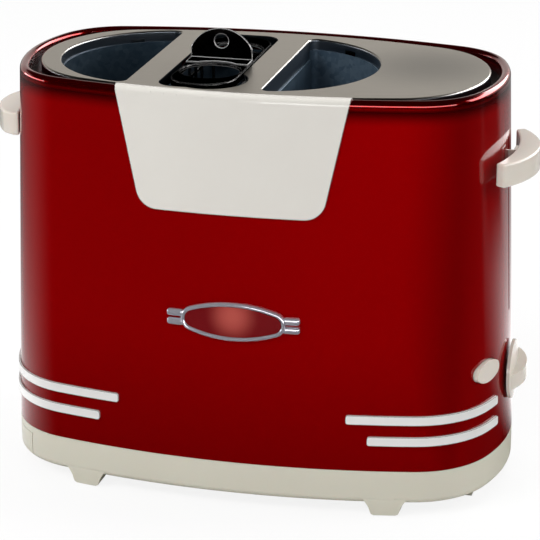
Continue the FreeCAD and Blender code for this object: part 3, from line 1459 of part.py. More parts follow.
def make_magnet_yoke():
    """E-shaped iron yoke of the electromagnet, its foot fixed to the circuit board."""
    body = new_body("magnet_yoke")
    top = magnet_top()
    low = top - S["magnet_height"]
    leg, half = S["magnet_leg"], S["keeper_half"]
    left = S["board_x"] - S["keeper_reach"]
    outline = sketch_yz(body, left)
    draw(outline, [
        (-half, low), (half, low), (half, top), (half - leg, top), (half - leg, low + leg),
        (leg / 2, low + leg), (leg / 2, top), (-leg / 2, top), (-leg / 2, low + leg),
        (leg - half, low + leg), (leg - half, top), (-half, top),
    ])
    pad(body, outline, S["keeper_reach"] - coil_thickness() - 2 * S["screw_hole_gap"])
    foot = sketch_yz(body, left)
    rectangle(foot, -half, half, low, low + leg)
    pad(body, foot, S["keeper_reach"])
    return body


def make_magnet_coil():
    """Copper coil on the middle leg of the yoke."""
    body = new_body("magnet_coil")
    gap = S["screw_hole_gap"]
    inner_half = S["magnet_leg"] / 2 + gap
    thick = coil_thickness()
    left = S["board_x"] - S["keeper_reach"] - gap
    right = S["board_x"] - gap
    outline = sketch_xy(body, magnet_top() - S["magnet_height"] + S["magnet_leg"] + gap)
    rounded(outline, left - thick, right, -inner_half - thick, inner_half + thick, thick / 2)
    rectangle(outline, left, right - thick, -inner_half, inner_half)
    pad(body, outline, S["magnet_height"] - S["magnet_leg"] - S["magnet_coil_clear"])
    return body


# ------------------------------------------------------------------ lever and handles
def handle_outline(sketch, side):
    """Crescent of a handle in plan: outer bow, inner bow, cut-off tips."""
    half = S["handle_half"]
    outer_tip = S["handle_reach"] - S["handle_bow"]
    inner_tip = HANDLE_INNER - S["handle_inner_bow"]
    outer_half = half + S["handle_tip"] / 2
    outer_radius = (outer_half * outer_half + S["handle_bow"] * S["handle_bow"]) / (2 * S["handle_bow"])
    inner_radius = (half * half + S["handle_inner_bow"] * S["handle_inner_bow"])
    inner_radius = inner_radius / (2 * S["handle_inner_bow"])
    corners = [(side * outer_tip, -outer_half), (side * outer_tip, outer_half),
               (side * inner_tip, half), (side * inner_tip, -half)]
    draw(sketch, corners, {0: side * outer_radius, 2: -side * inner_radius})


def make_handle(label, side, low):
    """One ivory crescent, edges rounded."""
    body = new_body(label)
    outline = sketch_xy(body, low)
    handle_outline(outline, side)
    pad(body, outline, S["handle_height"])
    fillet(body, S["handle_tip"] * 0.3, lambda item: item.BoundBox.ZLength > float(S["handle_height"]) / 2)
    levels = (float(low), float(low + S["handle_height"]))
    fillet(body, S["handle_edge"], lambda item: any(flat_at(item, level) for level in levels))
    return body


def make_lever_handle():
    """Lever handle: crescent with a stem that takes the arm."""
    body = make_handle("lever_handle", 1, S["lever_low"])
    stem = sketch_xy(body, S["arm_low"] - S["lever_slot_half"])
    inner = wall_x(S["arm_low"] - S["travel"]) + S["lever_stem_gap"]
    half = S["lever_stem_half"]
    rectangle(stem, inner, HANDLE_INNER + S["handle_mid"] / 2, -half, half)
    pad(body, stem, S["arm_high"] - S["arm_low"] + 2 * S["lever_slot_half"])
    pocket = sketch_xz(body, -S["arm_half"])
    rectangle(pocket, inner - S["handle_tip"], HANDLE_INNER + S["arm_in_handle"], S["arm_low"], S["arm_high"])
    cut(body, pocket, 2 * S["arm_half"])
    return body


def make_lever_arm():
    """Flat steel arm from the carriage through the case into the handle."""
    body = new_body("lever_arm")
    outline = sketch_xz(body, S["arm_half"])
    rectangle(outline, S["rod_x"], HANDLE_INNER + S["arm_in_handle"], S["arm_low"], S["arm_high"])
    pad(body, outline, 2 * S["arm_half"])
    return body


def make_side_grip():
    """Fixed carrying grip on the other end, screwed on from inside."""
    body = make_handle("side_grip", -1, S["grip_low"])
    block = sketch_xy(body, S["grip_low"] + S["handle_edge"])
    inner = wall_x(S["grip_low"]) + S["plate_gap"]
    half = S["grip_stem_half"]
    rectangle(block, -HANDLE_INNER - S["handle_mid"] / 2, -inner, -half, half)
    pad(body, block, S["handle_height"] - 2 * S["handle_edge"])
    holes = sketch_yz(body, -inner + S["sheet"])
    for sign in (-1, 1):
        circle(holes, sign * S["grip_screw_y"], S["grip_low"] + S["handle_height"] / 2,
               S["screw_radius"] + S["screw_hole_gap"])
    cut(body, holes, S["grip_screw_depth"] + 2 * S["sheet"])
    return body


def make_grip_screws():
    """Screws of the grip, heads inside the case."""
    body = new_body("grip_screws", several=True)
    middle = S["grip_low"] + S["handle_height"] / 2
    reach = S["grip_screw_y"] + S["screw_head"]
    head_x = S["sheet"] + S["screw_hole_gap"] - end_x(reach, wall_inset(middle + S["screw_head"]))
    for radius, length, outward in ((S["screw_head"], S["screw_head_height"], False),
                                    (S["screw_radius"], S["grip_screw_depth"], True)):
        outline = sketch_yz(body, head_x)
        for sign in (-1, 1):
            circle(outline, sign * S["grip_screw_y"], middle, radius)
        pad(body, outline, length, reverse=outward)
    return body


# -------------------------------------------------------------- timer, button, electrics
def make_circuit_board():
    """Upright circuit board at the lever end."""
    body = new_body("circuit_board")
    outline = sketch_yz(body, S["board_x"])
    rectangle(outline, S["board_front"], S["board_back"], CHASSIS_TOP, S["board_top"])
    pad(body, outline, S["board"])
    return body


def make_timer_case():
    """Timer on the board behind the knob."""
    body = new_body("timer_case")
    outline = sketch_yz(body, S["board_x"] + S["board"])
    half = S["timer_half"]
    rounded(outline, -half, half, S["timer_z"] - half, S["timer_z"] + half, S["knob_rim"])
    pad(body, outline, S["timer_depth"])
    hole = sketch_yz(body, S["board_x"] + S["board"] + S["timer_depth"])
    circle(hole, 0, S["timer_z"], S["shaft_radius"] + S["rod_fit"])
    cut(body, hole, S["timer_depth"] / 2)
    return body


def make_timer_shaft():
    """Shaft from the timer to the knob."""
    body = new_body("timer_shaft")
    start = S["board_x"] + S["board"] + S["timer_depth"] / 2 + S["knob_gap"]
    outline = sketch_yz(body, start)
    circle(outline, 0, S["timer_z"], S["shaft_radius"])
    pad(body, outline, S["half_length"] + S["knob_gap"] + S["knob_rim"] - start)
    return body


def make_timer_knob():
    """Ivory knob: domed disc with a rounded grip across it."""
    body = new_body("timer_knob")
    back = wall_x(S["timer_z"] - S["knob_radius"]) + S["knob_gap"]
    face = back + S["knob_rim"]
    profile = sketch_xz(body, 0)
    radius, dome = S["knob_radius"], S["knob_dome"]
    dome_radius = (radius * radius + dome * dome) / (2 * dome)
    middle = S["timer_z"]
    draw(profile, [(back, middle), (face + dome, middle), (face, middle + radius), (back, middle + radius)],
         {1: dome_radius})
    disc = body.newObject("PartDesign::Revolution", "Disc")
    disc.Profile = profile
    disc.ReferenceAxis = (profile, ["Edge1"])
    disc.Angle = 360
    doc.recompute()
    fin = sketch_xy(body, S["timer_z"] - S["knob_fin_half"])
    length, rise = S["knob_fin_length"], S["knob_fin"]
    fin_radius = (length * length + rise * rise) / (2 * rise)
    draw(fin, [(back + S["knob_rim"] / 2, -length), (face, -length), (face + rise, 0), (face, length),
               (back + S["knob_rim"] / 2, length)], {1: fin_radius, 2: fin_radius})
    pad(body, fin, 2 * S["knob_fin_half"])
    bore = sketch_yz(body, S["half_length"] + S["knob_gap"] + S["knob_rim"])
    circle(bore, 0, S["timer_z"], S["shaft_radius"])
    cut(body, bore, S["knob_radius"])
    body.Placement = Placement(
        Vector(0, 0, 0), Rotation(Vector(1, 0, 0), float(S["knob_turn"])), Vector(0, 0, float(S["timer_z"])))
    return body


def button_sketch(body, out):
    """A sketch square to the stop button's travel, a distance outside the case."""
    sketch = new_sketch(body, "YZ_Plane", 0)
    inset = wall_inset(S["button_z"])
    x = end_x(S["button_y"], inset) + out * cosine(S["button_turn"])
    y = S["button_y"] - out * sine(S["button_turn"])
    turn = Rotation(Vector(0, 1, 0), -float(S["button_turn"]))
    sketch.AttachmentOffset = Placement(Vector(float(y), float(S["button_z"]), float(x)), turn)
    bind(sketch, "AttachmentOffset.Base.x", y)
    bind(sketch, "AttachmentOffset.Base.y", S["button_z"])
    bind(sketch, "AttachmentOffset.Base.z", x)
    return sketch


def button_outline(sketch, margin):
    """The oval of the stop button, or a parallel line outside it."""
    lens(sketch, 0, 0, S["button_half_length"] + margin, S["button_half_height"] + margin,
         S["button_end_radius"] + margin)


def make_stop_button():
    """Oval stop button with a retaining flange and a stem to the switch."""
    body = new_body("stop_button")
    face = button_sketch(body, S["button_proud"])
    button_outline(face, 0)
    pad(body, face, S["button_proud"] + S["flange_depth"], reverse=True)
    flange = button_sketch(body, -S["flange_depth"])
    button_outline(flange, S["flange_margin"])
    pad(body, flange, S["flange_sheet"], reverse=True)
    stem = button_sketch(body, -S["flange_depth"])
    circle(stem, 0, 0, S["button_stem"])
    pad(body, stem, S["button_depth"] - S["flange_depth"], reverse=True)
    return body


def make_stop_switch():
    """Small push switch on the board, behind the button's stem."""
    body = new_body("stop_switch")
    reach = S["button_depth"] + S["button_travel"] + S["button_gap"]
    tip = end_x(S["button_y"], wall_inset(S["button_z"])) - reach * cosine(S["button_turn"])
    side = S["button_y"] + reach * sine(S["button_turn"])
    outline = sketch_yz(body, S["board_x"] + S["board"])
    half = S["button_stem"]
    rectangle(outline, side - half, side + half, S["button_z"] - half, S["button_z"] + half)
    pad(body, outline, tip - half * sine(S["button_turn"]) - S["board_x"] - S["board"])
    return body


def make_cord_gland():
    """Rubber gland in the back wall of the base, bored for the mains cord."""
    body = new_body("cord_gland")
    inside = -front_y(S["gland_x"] + S["gland_flange"], S["base_wall"])
    inside = inside - S["gland_flange_sheet"] - S["gland_seat"]
    outside = S["gland_seat"] - front_y(S["gland_x"] - S["gland_flange"], 0)
    for start, radius, length in (
            (inside, S["gland_flange"], S["gland_flange_sheet"]),
            (inside, S["gland_neck"], outside - inside + S["gland_tail"]),
            (outside, S["gland_flange"], S["gland_flange_sheet"])):
        ring = sketch_xz(body, start)
        circle(ring, S["gland_x"], S["gland_z"], radius)
        pad(body, ring, length, reverse=True)
    bore = sketch_xz(body, inside - S["sheet"])
    circle(bore, S["gland_x"], S["gland_z"], S["gland_bore"])
    cut(body, bore, outside - inside + S["gland_tail"] + 2 * S["sheet"])
    return body


# ----------------------------------------------------------------------- the assembly
pieces = [
    make_body_shell(),
    make_panel_ledge(),
    make_top_panel(),
    make_front_plate(),
    make_plaque("badge_bezel", S["badge_rise"], winged_lens, 0, S["badge_rim"]),
    make_plaque("badge_enamel", S["badge_face"], lens, S["badge_rim"] + S["plate_gap"], None),
    make_trim_strip("trim_upper_left", -1, S["strip_upper"], S["strip_upper_start"], S["strip_left_stop"]),
    make_trim_strip("trim_upper_right", 1, S["strip_upper"], S["strip_upper_start"], S["strip_right_stop"]),
    make_trim_strip("trim_lower_left", -1, S["strip_lower"], S["strip_lower_start"], S["strip_left_stop"]),
    make_trim_strip("trim_lower_right", 1, S["strip_lower"], S["strip_lower_start"], S["strip_right_stop"]),
    make_base_housing(),
    make_foot_pads(),
    make_base_screws(),
    make_chassis_plate(),
    make_tray_front(),
    make_tray_pan(),
    make_bun_chamber("bun_chamber_left", -1),
    make_bun_chamber("bun_chamber_right", 1),
    make_bun_guard("bun_guard_left", -1),
    make_bun_guard("bun_guard_right", 1),
    make_sausage_guard("sausage_guard_left", -1),
    make_sausage_guard("sausage_guard_right", 1),
    make_sausage_end("sausage_end_front", 1),
    make_sausage_end("sausage_end_back", -1),
    make_heater_board("heater_board_left", S["mica_left_x"]),
    make_heater_board("heater_board_right", S["mica_right_x"]),
    make_heater_wires("heater_ribbon_left", S["mica_left_x"]),
    make_heater_wires("heater_ribbon_right", S["mica_right_x"]),
    make_basket_frame(),
    make_basket_tab(),
    make_basket_floor(),
    make_basket_hoops(),
    make_basket_wires(),
    make_lifter_bar(),
    make_bun_platform("bun_platform_left", -1),
    make_bun_platform("bun_platform_right", 1),
    make_sausage_platform(),
    make_carriage_block(),
    make_guide_rods(),
    make_mechanism_frame(),
    make_return_springs(),
    make_keeper_plate(),
    make_magnet_yoke(),
    make_magnet_coil(),
    make_lever_handle(),
    make_lever_arm(),
    make_side_grip(),
    make_grip_screws(),
    make_circuit_board(),
    make_timer_case(),
    make_timer_shaft(),
    make_timer_knob(),
    make_stop_button(),
    make_stop_switch(),
    make_cord_gland(),
]
doc.recompute()

faults = [item.Name for item in doc.Objects if {"Invalid", "Error"} & set(item.State)]
faults += [piece.Label for piece in pieces if piece.Shape.isNull() or not piece.Shape.isValid()]
if faults:
    raise ValueError("failed: " + ", ".join(faults))

os.makedirs("parts", exist_ok=True)
for piece in pieces:
    piece.Shape.exportStep(os.path.join("parts", piece.Label + ".step"))
    print(piece.Label, len(piece.Shape.Solids), round(piece.Shape.Volume))
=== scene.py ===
import bmesh
import bpy
import json
import math
from mathutils import Matrix, Vector


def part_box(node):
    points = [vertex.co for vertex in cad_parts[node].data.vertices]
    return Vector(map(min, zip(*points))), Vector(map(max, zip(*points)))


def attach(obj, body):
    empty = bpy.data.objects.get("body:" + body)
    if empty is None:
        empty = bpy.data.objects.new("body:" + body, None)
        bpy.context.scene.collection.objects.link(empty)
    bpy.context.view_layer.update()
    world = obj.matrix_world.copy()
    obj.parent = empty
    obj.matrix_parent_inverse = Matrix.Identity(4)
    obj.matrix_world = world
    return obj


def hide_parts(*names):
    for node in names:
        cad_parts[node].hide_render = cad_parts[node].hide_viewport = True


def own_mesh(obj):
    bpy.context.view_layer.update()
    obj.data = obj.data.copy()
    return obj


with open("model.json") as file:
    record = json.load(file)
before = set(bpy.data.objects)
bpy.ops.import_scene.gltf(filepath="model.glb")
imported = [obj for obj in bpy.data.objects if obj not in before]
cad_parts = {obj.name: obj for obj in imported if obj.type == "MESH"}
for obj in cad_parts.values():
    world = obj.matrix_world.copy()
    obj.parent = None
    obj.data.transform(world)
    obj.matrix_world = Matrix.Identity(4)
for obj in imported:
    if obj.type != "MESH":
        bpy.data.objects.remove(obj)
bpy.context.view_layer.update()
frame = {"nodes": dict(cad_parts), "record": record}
MM = 0.001


# ---- Camera
# A long lens a little above the toaster and to the right of its middle, looking at the
# front with the lever end at the right.
camera_azimuth = math.radians(14.42)
camera_height = math.radians(19.35)
camera_distance = 1293.7 * MM
camera_target = Vector((2.8, 0.0, 101.8)) * MM
camera_roll = math.radians(-0.15)
camera_lens = 166.67

lens = bpy.data.cameras.new("camera")
lens.lens = camera_lens
lens.sensor_width = 36.0
lens.clip_end = 50.0
camera = bpy.data.objects.new("camera", lens)
bpy.context.scene.collection.objects.link(camera)
bpy.context.scene.camera = camera
toward = Vector((math.sin(camera_azimuth) * math.cos(camera_height),
                 -math.cos(camera_azimuth) * math.cos(camera_height), math.sin(camera_height)))
camera.location = camera_target + toward * camera_distance
camera.rotation_mode = "QUATERNION"
camera.rotation_quaternion = toward.to_track_quat("Z", "Y")
camera.rotation_quaternion @= Matrix.Rotation(camera_roll, 4, "Z").to_quaternion()


# ---- Studio
# White paper floor and white surround under three soft boxes and a strip box. Black felt, a
# grey card and low bright strips stand round the toaster only for its gloss to mirror.
def linear(colour):
    """The linear value of an sRGB hex colour."""
    parts = [int(colour[i:i + 2], 16) / 255 for i in (1, 3, 5)]
    return [p / 12.92 if p <= 0.04045 else ((p + 0.055) / 1.055) ** 2.4 for p in parts] + [1.0]


def add(tree, kind, inputs=None, **settings):
    """Adds one node with its settings; inputs maps sockets to values or to other sockets."""
    node = tree.nodes.new(kind)
    for name, value in settings.items():
        setattr(node, name, value)
    for socket, value in (inputs or {}).items():
        if isinstance(value, bpy.types.NodeSocket):
            tree.links.new(value, node.inputs[socket])
        else:
            node.inputs[socket].default_value = value
    return node


def bare_tree(holder):
    """Clears the nodes of a material or the world and gives its tree."""
    holder.use_nodes = True
    holder.node_tree.nodes.clear()
    return holder.node_tree


def put(name, data):
    """An object of that mesh, curve or light in the scene."""
    piece = bpy.data.objects.new(name, data)
    bpy.context.scene.collection.objects.link(piece)
    return piece


def board(name, centre, across, up):
    """A flat four-sided piece about its centre."""
    mesh = bpy.data.meshes.new(name)
    corners = [centre - across - up, centre + across - up, centre + across + up, centre - across + up]
    mesh.from_pydata([tuple(c) for c in corners], [], [(0, 1, 2, 3)])
    return put(name, mesh)


floor_half = 6.0
floor_glow = 0.86
floor = board("floor", Vector((0, 0, 0)), Vector((floor_half, 0, 0)), Vector((0, floor_half, 0)))
paper = bpy.data.materials.new("white_paper")
tree = bare_tree(paper)
sheet = add(tree, "ShaderNodeBsdfDiffuse", {"Color": linear("#f4f4f4")})
glow = add(tree, "ShaderNodeEmission", {"Color": linear("#ffffff"), "Strength": 1.0})
ray = add(tree, "ShaderNodeLightPath")
seen = add(tree, "ShaderNodeMath", {0: ray.outputs["Is Camera Ray"], 1: floor_glow}, operation="MULTIPLY")
both = add(tree, "ShaderNodeMixShader", {0: seen.outputs[0], 1: sheet.outputs[0], 2: glow.outputs[0]})
add(tree, "ShaderNodeOutputMaterial", {"Surface": both.outputs[0]})
floor.data.materials.append(paper)

felt = bpy.data.materials.new("black_felt")
tree = bare_tree(felt)
black = add(tree, "ShaderNodeBsdfDiffuse", {"Color": linear("#050505")})
add(tree, "ShaderNodeOutputMaterial", {"Surface": black.outputs[0]})

# The carpet is black in front of the toaster and turns pale towards the sides, most of all
# near the toaster and a little less on the left. Behind the toaster it is grey.
carpet_middle = math.radians(12)
carpet_sides = math.radians(80), math.radians(116)
carpet_back = math.radians(145), math.radians(172)
carpet_near, carpet_fall, carpet_brightest = 0.33, 1.37, 2.0
carpet_left = 0.6
faded_felt = bpy.data.materials.new("faded_felt")
tree = bare_tree(faded_felt)
place = add(tree, "ShaderNodeTexCoord")
turned = add(tree, "ShaderNodeMapping", {"Vector": place.outputs["Object"],
                                         "Rotation": (0, 0, math.pi / 2 - camera_azimuth)})
parts = add(tree, "ShaderNodeSeparateXYZ", {"Vector": turned.outputs[0]})
bearing = add(tree, "ShaderNodeMath", {0: parts.outputs["Y"], 1: parts.outputs["X"]}, operation="ARCTAN2")
off_middle = add(tree, "ShaderNodeMath", {0: bearing.outputs[0], 1: carpet_middle}, operation="SUBTRACT")
aside = add(tree, "ShaderNodeMath", {0: off_middle.outputs[0]}, operation="ABSOLUTE")
fade = add(tree, "ShaderNodeMapRange", {"Value": aside.outputs[0], "From Min": carpet_sides[0],
                                        "From Max": carpet_sides[1]}, interpolation_type="SMOOTHSTEP")
behind = add(tree, "ShaderNodeMapRange", {"Value": aside.outputs[0], "From Min": carpet_back[0],
                                          "From Max": carpet_back[1], "To Min": 1.0, "To Max": 0.2},
             interpolation_type="SMOOTHSTEP")
side = add(tree, "ShaderNodeMapRange", {"Value": bearing.outputs[0], "From Min": -0.5, "From Max": 0.5,
                                        "To Min": carpet_left, "To Max": 1.0})
reach = add(tree, "ShaderNodeVectorMath", {0: turned.outputs[0]}, operation="LENGTH")
nearness = add(tree, "ShaderNodeMath", {0: carpet_near, 1: reach.outputs["Value"]}, operation="DIVIDE")
falling = add(tree, "ShaderNodeMath", {0: nearness.outputs[0], 1: carpet_fall}, operation="POWER")
capped = add(tree, "ShaderNodeMath", {0: falling.outputs[0], 1: carpet_brightest}, operation="MINIMUM")
turned_off = add(tree, "ShaderNodeMath", {0: fade.outputs[0], 1: behind.outputs[0]}, operation="MULTIPLY")
sided = add(tree, "ShaderNodeMath", {0: turned_off.outputs[0], 1: side.outputs[0]}, operation="MULTIPLY")
fallen = add(tree, "ShaderNodeMath", {0: sided.outputs[0], 1: capped.outputs[0]}, operation="MULTIPLY")
# At the right, away from the toaster, a soft-edged band of the carpet lies in shade.
band_bearing = math.radians(115)
band_half = math.radians(6), math.radians(15)
band_reach = 0.40, 0.62
off_band = add(tree, "ShaderNodeMath", {0: bearing.outputs[0], 1: band_bearing}, operation="SUBTRACT")
band_side = add(tree, "ShaderNodeMath", {0: off_band.outputs[0]}, operation="ABSOLUTE")
in_band = add(tree, "ShaderNodeMapRange", {"Value": band_side.outputs[0], "From Min": band_half[0],
                                           "From Max": band_half[1], "To Min": 1.0, "To Max": 0.0},
              interpolation_type="SMOOTHSTEP")
beyond = add(tree, "ShaderNodeMapRange", {"Value": reach.outputs["Value"], "From Min": band_reach[0],
                                          "From Max": band_reach[1]}, interpolation_type="SMOOTHSTEP")
shaded = add(tree, "ShaderNodeMath", {0: in_band.outputs[0], 1: beyond.outputs[0]}, operation="MULTIPLY")
lit = add(tree, "ShaderNodeMath", {0: 1.0, 1: shaded.outputs[0]}, operation="SUBTRACT")
glowing = add(tree, "ShaderNodeMath", {0: fallen.outputs[0], 1: lit.outputs[0]}, operation="MULTIPLY")
pale = add(tree, "ShaderNodeEmission", {"Color": linear("#ffffff"), "Strength": glowing.outputs[0]})
add(tree, "ShaderNodeOutputMaterial", {"Surface": pale.outputs[0]})


def bright_card(name, colour, strength):
    """A glowing material for a piece of the studio."""
    material = bpy.data.materials.new(name)
    tree = bare_tree(material)
    light = add(tree, "ShaderNodeEmission", {"Color": linear(colour), "Strength": strength})
    add(tree, "ShaderNodeOutputMaterial", {"Surface": light.outputs[0]})
    return material


def flag(name, material, corners, faces):
    """A piece of the studio that only gloss sees."""
    mesh = bpy.data.meshes.new(name)
    mesh.from_pydata(corners, [], faces)
    piece = put(name, mesh)
    piece.data.materials.append(material)
    piece.visible_camera = False
    piece.visible_diffuse = False
    piece.visible_shadow = False
    piece.visible_transmission = False


def compass(turn, distance, height):
    """A place round the toaster: degrees from the camera's side, distance and height in metres."""
    angle = camera_azimuth + math.radians(turn)
    return (distance * math.sin(angle), -distance * math.cos(angle), height)


def ring(reach, height, turns):
    """Places round the toaster at one height."""
    return [compass(turn, reach, height) for turn in turns]


sheet_step = 8


def fence(name, material, reach, low, high, first, last):
    """An upright curved sheet round part of the toaster."""
    turns = range(first, last + 1, sheet_step)
    count = len(turns)
    flag(name, material, ring(reach, low, turns) + ring(reach, high, turns),
         [(i, i + 1, count + i + 1, count + i) for i in range(count - 1)])


# Black felt stands all round and hangs overhead, with a grey card behind the toaster that
# its brushed top mirrors. Low strips in front and at the left draw a thin light line along
# the rolled rim, and a higher one at the right lights the rim's end. Each fence has its
# distance, its lower and upper edge, and the two bearings that it runs between.
tent_reach, tent_height = 2.6, 2.6
all_round = range(-180, 180, sheet_step)
fence("felt_wall", felt, tent_reach, 0.0, tent_height, -180, 180)
flag("felt_roof", felt, ring(tent_reach, tent_height, all_round), [tuple(range(len(all_round)))])
fence("card", bright_card("grey_card", "#bdbab6", 1.0), 2.5, 0.0, 1.25, 112, 248)
strip_glow = bright_card("strip_light", "#ffffff", 5.0)
fence("strip_front", strip_glow, 2.0, 0.1, 0.62, -24, 56)
fence("strip_left", strip_glow, 2.0, 0.1, 0.5, -128, -80)
fence("strip_right", bright_card("side_light", "#ffffff", 6.0), 1.6, 0.45, 1.2, 80, 152)
carpet_height = 0.0004
flag("felt_carpet", faded_felt, ring(tent_reach, carpet_height, all_round), [tuple(range(len(all_round)))])

world_light = 0.35
world = bpy.data.worlds.new("studio")
bpy.context.scene.world = world
tree = bare_tree(world)
ray = add(tree, "ShaderNodeLightPath")
mirrored = add(tree, "ShaderNodeMath", {0: ray.outputs["Is Glossy Ray"],
                                        1: ray.outputs["Is Transmission Ray"]}, operation="MAXIMUM")
direct = add(tree, "ShaderNodeMath", {0: mirrored.outputs[0], 1: ray.outputs["Is Camera Ray"]},
             operation="MAXIMUM")
level = add(tree, "ShaderNodeMapRange", {"Value": direct.outputs[0], "To Min": world_light,
                                         "To Max": 1.0})
white = add(tree, "ShaderNodeBackground", {"Color": linear("#ffffff"), "Strength": level.outputs[0]})
add(tree, "ShaderNodeOutputWorld", {"Surface": white.outputs[0]})

# Each lamp: place, size along its two sides, and power in watts. All are turned to the toaster.
lamps = {
    "soft_box_left": ((-1.1, -1.3, 1.7), (1.1, 0.8), 28.0),
    "soft_box_right": ((1.6, 0.5, 0.9), (0.5, 1.0), 12.0),
    "soft_box_top": ((0.1, 0.5, 1.9), (1.6, 0.7), 17.0),
    "strip_box_front": ((0.5, -1.7, 1.8), (3.0, 0.25), 9.5),
}
lamp_aim = Vector((0, 0, 0.1))
for name, (place, size, power) in lamps.items():
    light = bpy.data.lights.new(name, "AREA")
    light.shape = "RECTANGLE"
    light.size, light.size_y = size
    light.energy = power
    lamp = put(name, light)
    lamp.location = place
    lamp.visible_glossy = False
    lamp.rotation_euler = (lamp_aim - Vector(place)).to_track_quat("-Z", "Y").to_euler()

bpy.context.scene.view_settings.view_transform = "Standard"


# ---- Base moulding with its feet, and the front of the crumb tray
# Ivory ABS, injection moulded, semi-gloss with a fine spark-eroded grain. The tray front
# is moulded to the same curve and closes the base at the grip end.
bodies = {node: body for body, members in frame["record"]["behaviour"]["bodies"].items() for node in members}


def finish_named(name, colour, **inputs):
    """A new material; gives it, its tree and its shader, whose inputs are set as named."""
    material = bpy.data.materials.new(name)
    tree = bare_tree(material)
    shader = add(tree, "ShaderNodeBsdfPrincipled", {"Base Color": linear(colour)})
    for socket, value in inputs.items():
        shader.inputs[socket.replace("_", " ")].default_value = value
    add(tree, "ShaderNodeOutputMaterial", {"Surface": shader.outputs[0]})
    return material, tree, shader


def smoothed(mesh, limit):
    """Merges loose corners and smooths a mesh, apart from edges sharper than the limit in degrees."""
    if "custom_normal" in mesh.attributes:
        mesh.attributes.remove(mesh.attributes["custom_normal"])
    shape = bmesh.new()
    shape.from_mesh(mesh)
    bmesh.ops.remove_doubles(shape, verts=shape.verts, dist=2e-6)
    for face in shape.faces:
        face.smooth = True
    for edge in shape.edges:
        edge.smooth = edge.calc_face_angle(0) < math.radians(limit)
    shape.to_mesh(mesh)
    shape.free()


def settled(piece):
    """Turns a piece's modifiers into its plain mesh."""
    bpy.context.view_layer.update()
    view = piece.evaluated_get(bpy.context.evaluated_depsgraph_get())
    piece.data = bpy.data.meshes.new_from_object(view)
    piece.modifiers.clear()


def weigh(piece):
    """Shades flat faces flat and their rounded edges smooth."""
    weight = piece.modifiers.new("weigh", "WEIGHTED_NORMAL")
    weight.keep_sharp = True
    weight.mode = "FACE_AREA"
    settled(piece)


def dress(node, material, limit=32):
    """Puts a smooth copy of a CAD node in its place, in that material."""
    piece = put(node + "_made", frame["nodes"][node].data.copy())
    piece.data.materials.clear()
    piece.data.materials.append(material)
    smoothed(piece.data, limit)
    weigh(piece)
    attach(piece, bodies[node])
    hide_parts(node)
    return piece


def grain(tree, shader, size, depth, detail=2.0):
    """A fine relief of the given grain size and depth in millimetres; gives the place on the piece."""
    place = add(tree, "ShaderNodeTexCoord")
    noise = add(tree, "ShaderNodeTexNoise", {"Vector": place.outputs["Object"], "Scale": 1 / (size * MM),
                                             "Detail": detail})
    relief = add(tree, "ShaderNodeBump", {"Height": noise.outputs["Fac"], "Distance": depth * MM})
    tree.links.new(relief.outputs[0], shader.inputs["Normal"])
    return place


def tint(tree, shader, place, colours, size):
    """A slow change between two colours over the given size in millimetres."""
    cloud = add(tree, "ShaderNodeTexNoise", {"Vector": place.outputs["Object"], "Scale": 1 / (size * MM),
                                             "Detail": 1.0})
    mix = add(tree, "ShaderNodeMix", {"Factor": cloud.outputs["Fac"], "A": linear(colours[0]),
                                      "B": linear(colours[1])}, data_type="RGBA")
    tree.links.new(mix.outputs["Result"], shader.inputs["Base Color"])


ivory_abs, tree, shader = finish_named("moulded_ivory_abs", "#cdcabb", Roughness=0.34, IOR=1.53,
                                       Subsurface_Weight=0.06, Subsurface_Scale=0.004)
place = grain(tree, shader, 0.35, 0.012)
tint(tree, shader, place, ("#cfccbd", "#c9c5b5"), 60.0)
dress("base_housing", ivory_abs)
dress("crumb_tray_front", ivory_abs)

# The four pads are black rubber discs, pushed into sockets in the feet, and the gland for a
# cord, low at the back, is the same rubber.
rubber, tree, shader = finish_named("black_rubber", "#161616", Roughness=0.75, IOR=1.52)
grain(tree, shader, 0.5, 0.03)
dress("foot_pads", rubber)
dress("cord_gland", rubber)


# ---- Zinc-plated pressings, screws and springs
# The chassis plate, the crumb tray pan, the lifter and its frame are pressed from
# zinc-plated steel, which is pale, a little blue and softly mottled.
zinc, tree, shader = finish_named("zinc_plated_steel", "#b9bcc0", Metallic=1.0, Roughness=0.34)
place = grain(tree, shader, 0.8, 0.008)
tint(tree, shader, place, ("#b4b7bc", "#c3c4c6"), 14.0)
for node in ("base_screws", "chassis_plate", "crumb_tray_pan", "lifter_bar", "bun_platform_left",
             "bun_platform_right", "sausage_platform", "mechanism_frame", "keeper_plate",
             "timer_shaft", "grip_screws"):
    dress(node, zinc)

# The springs stand on the frame under the carriage and get a mesh of their own.
springs = dress("return_springs", zinc)
low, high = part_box("return_springs")
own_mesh(springs)


# ---- Case
# One steel sheet, bent to the oval, leaning in a little, with its upper edge rolled over
# and turned down inside. It is coated with baked red metallic enamel under clear lacquer.
low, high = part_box("body_shell")
half_length = high.x / MM
half_depth = high.y / MM
case_radii = (419.8, 44.1, 100.4)
case_lean = 5.8
case_sheet = 1.0
case_foot = low.z / MM
rim_top = high.z / MM
rim_outer, rim_inner = 2.8, 2.2
turned_edge = 205.5


def arc(centre, radius, start, finish, pieces):
    """Points along an arc in the plane, angles in radians."""
    steps = [start + (finish - start) * i / pieces for i in range(pieces + 1)]
    return [(centre[0] + radius * math.cos(a), centre[1] + radius * math.sin(a)) for a in steps]


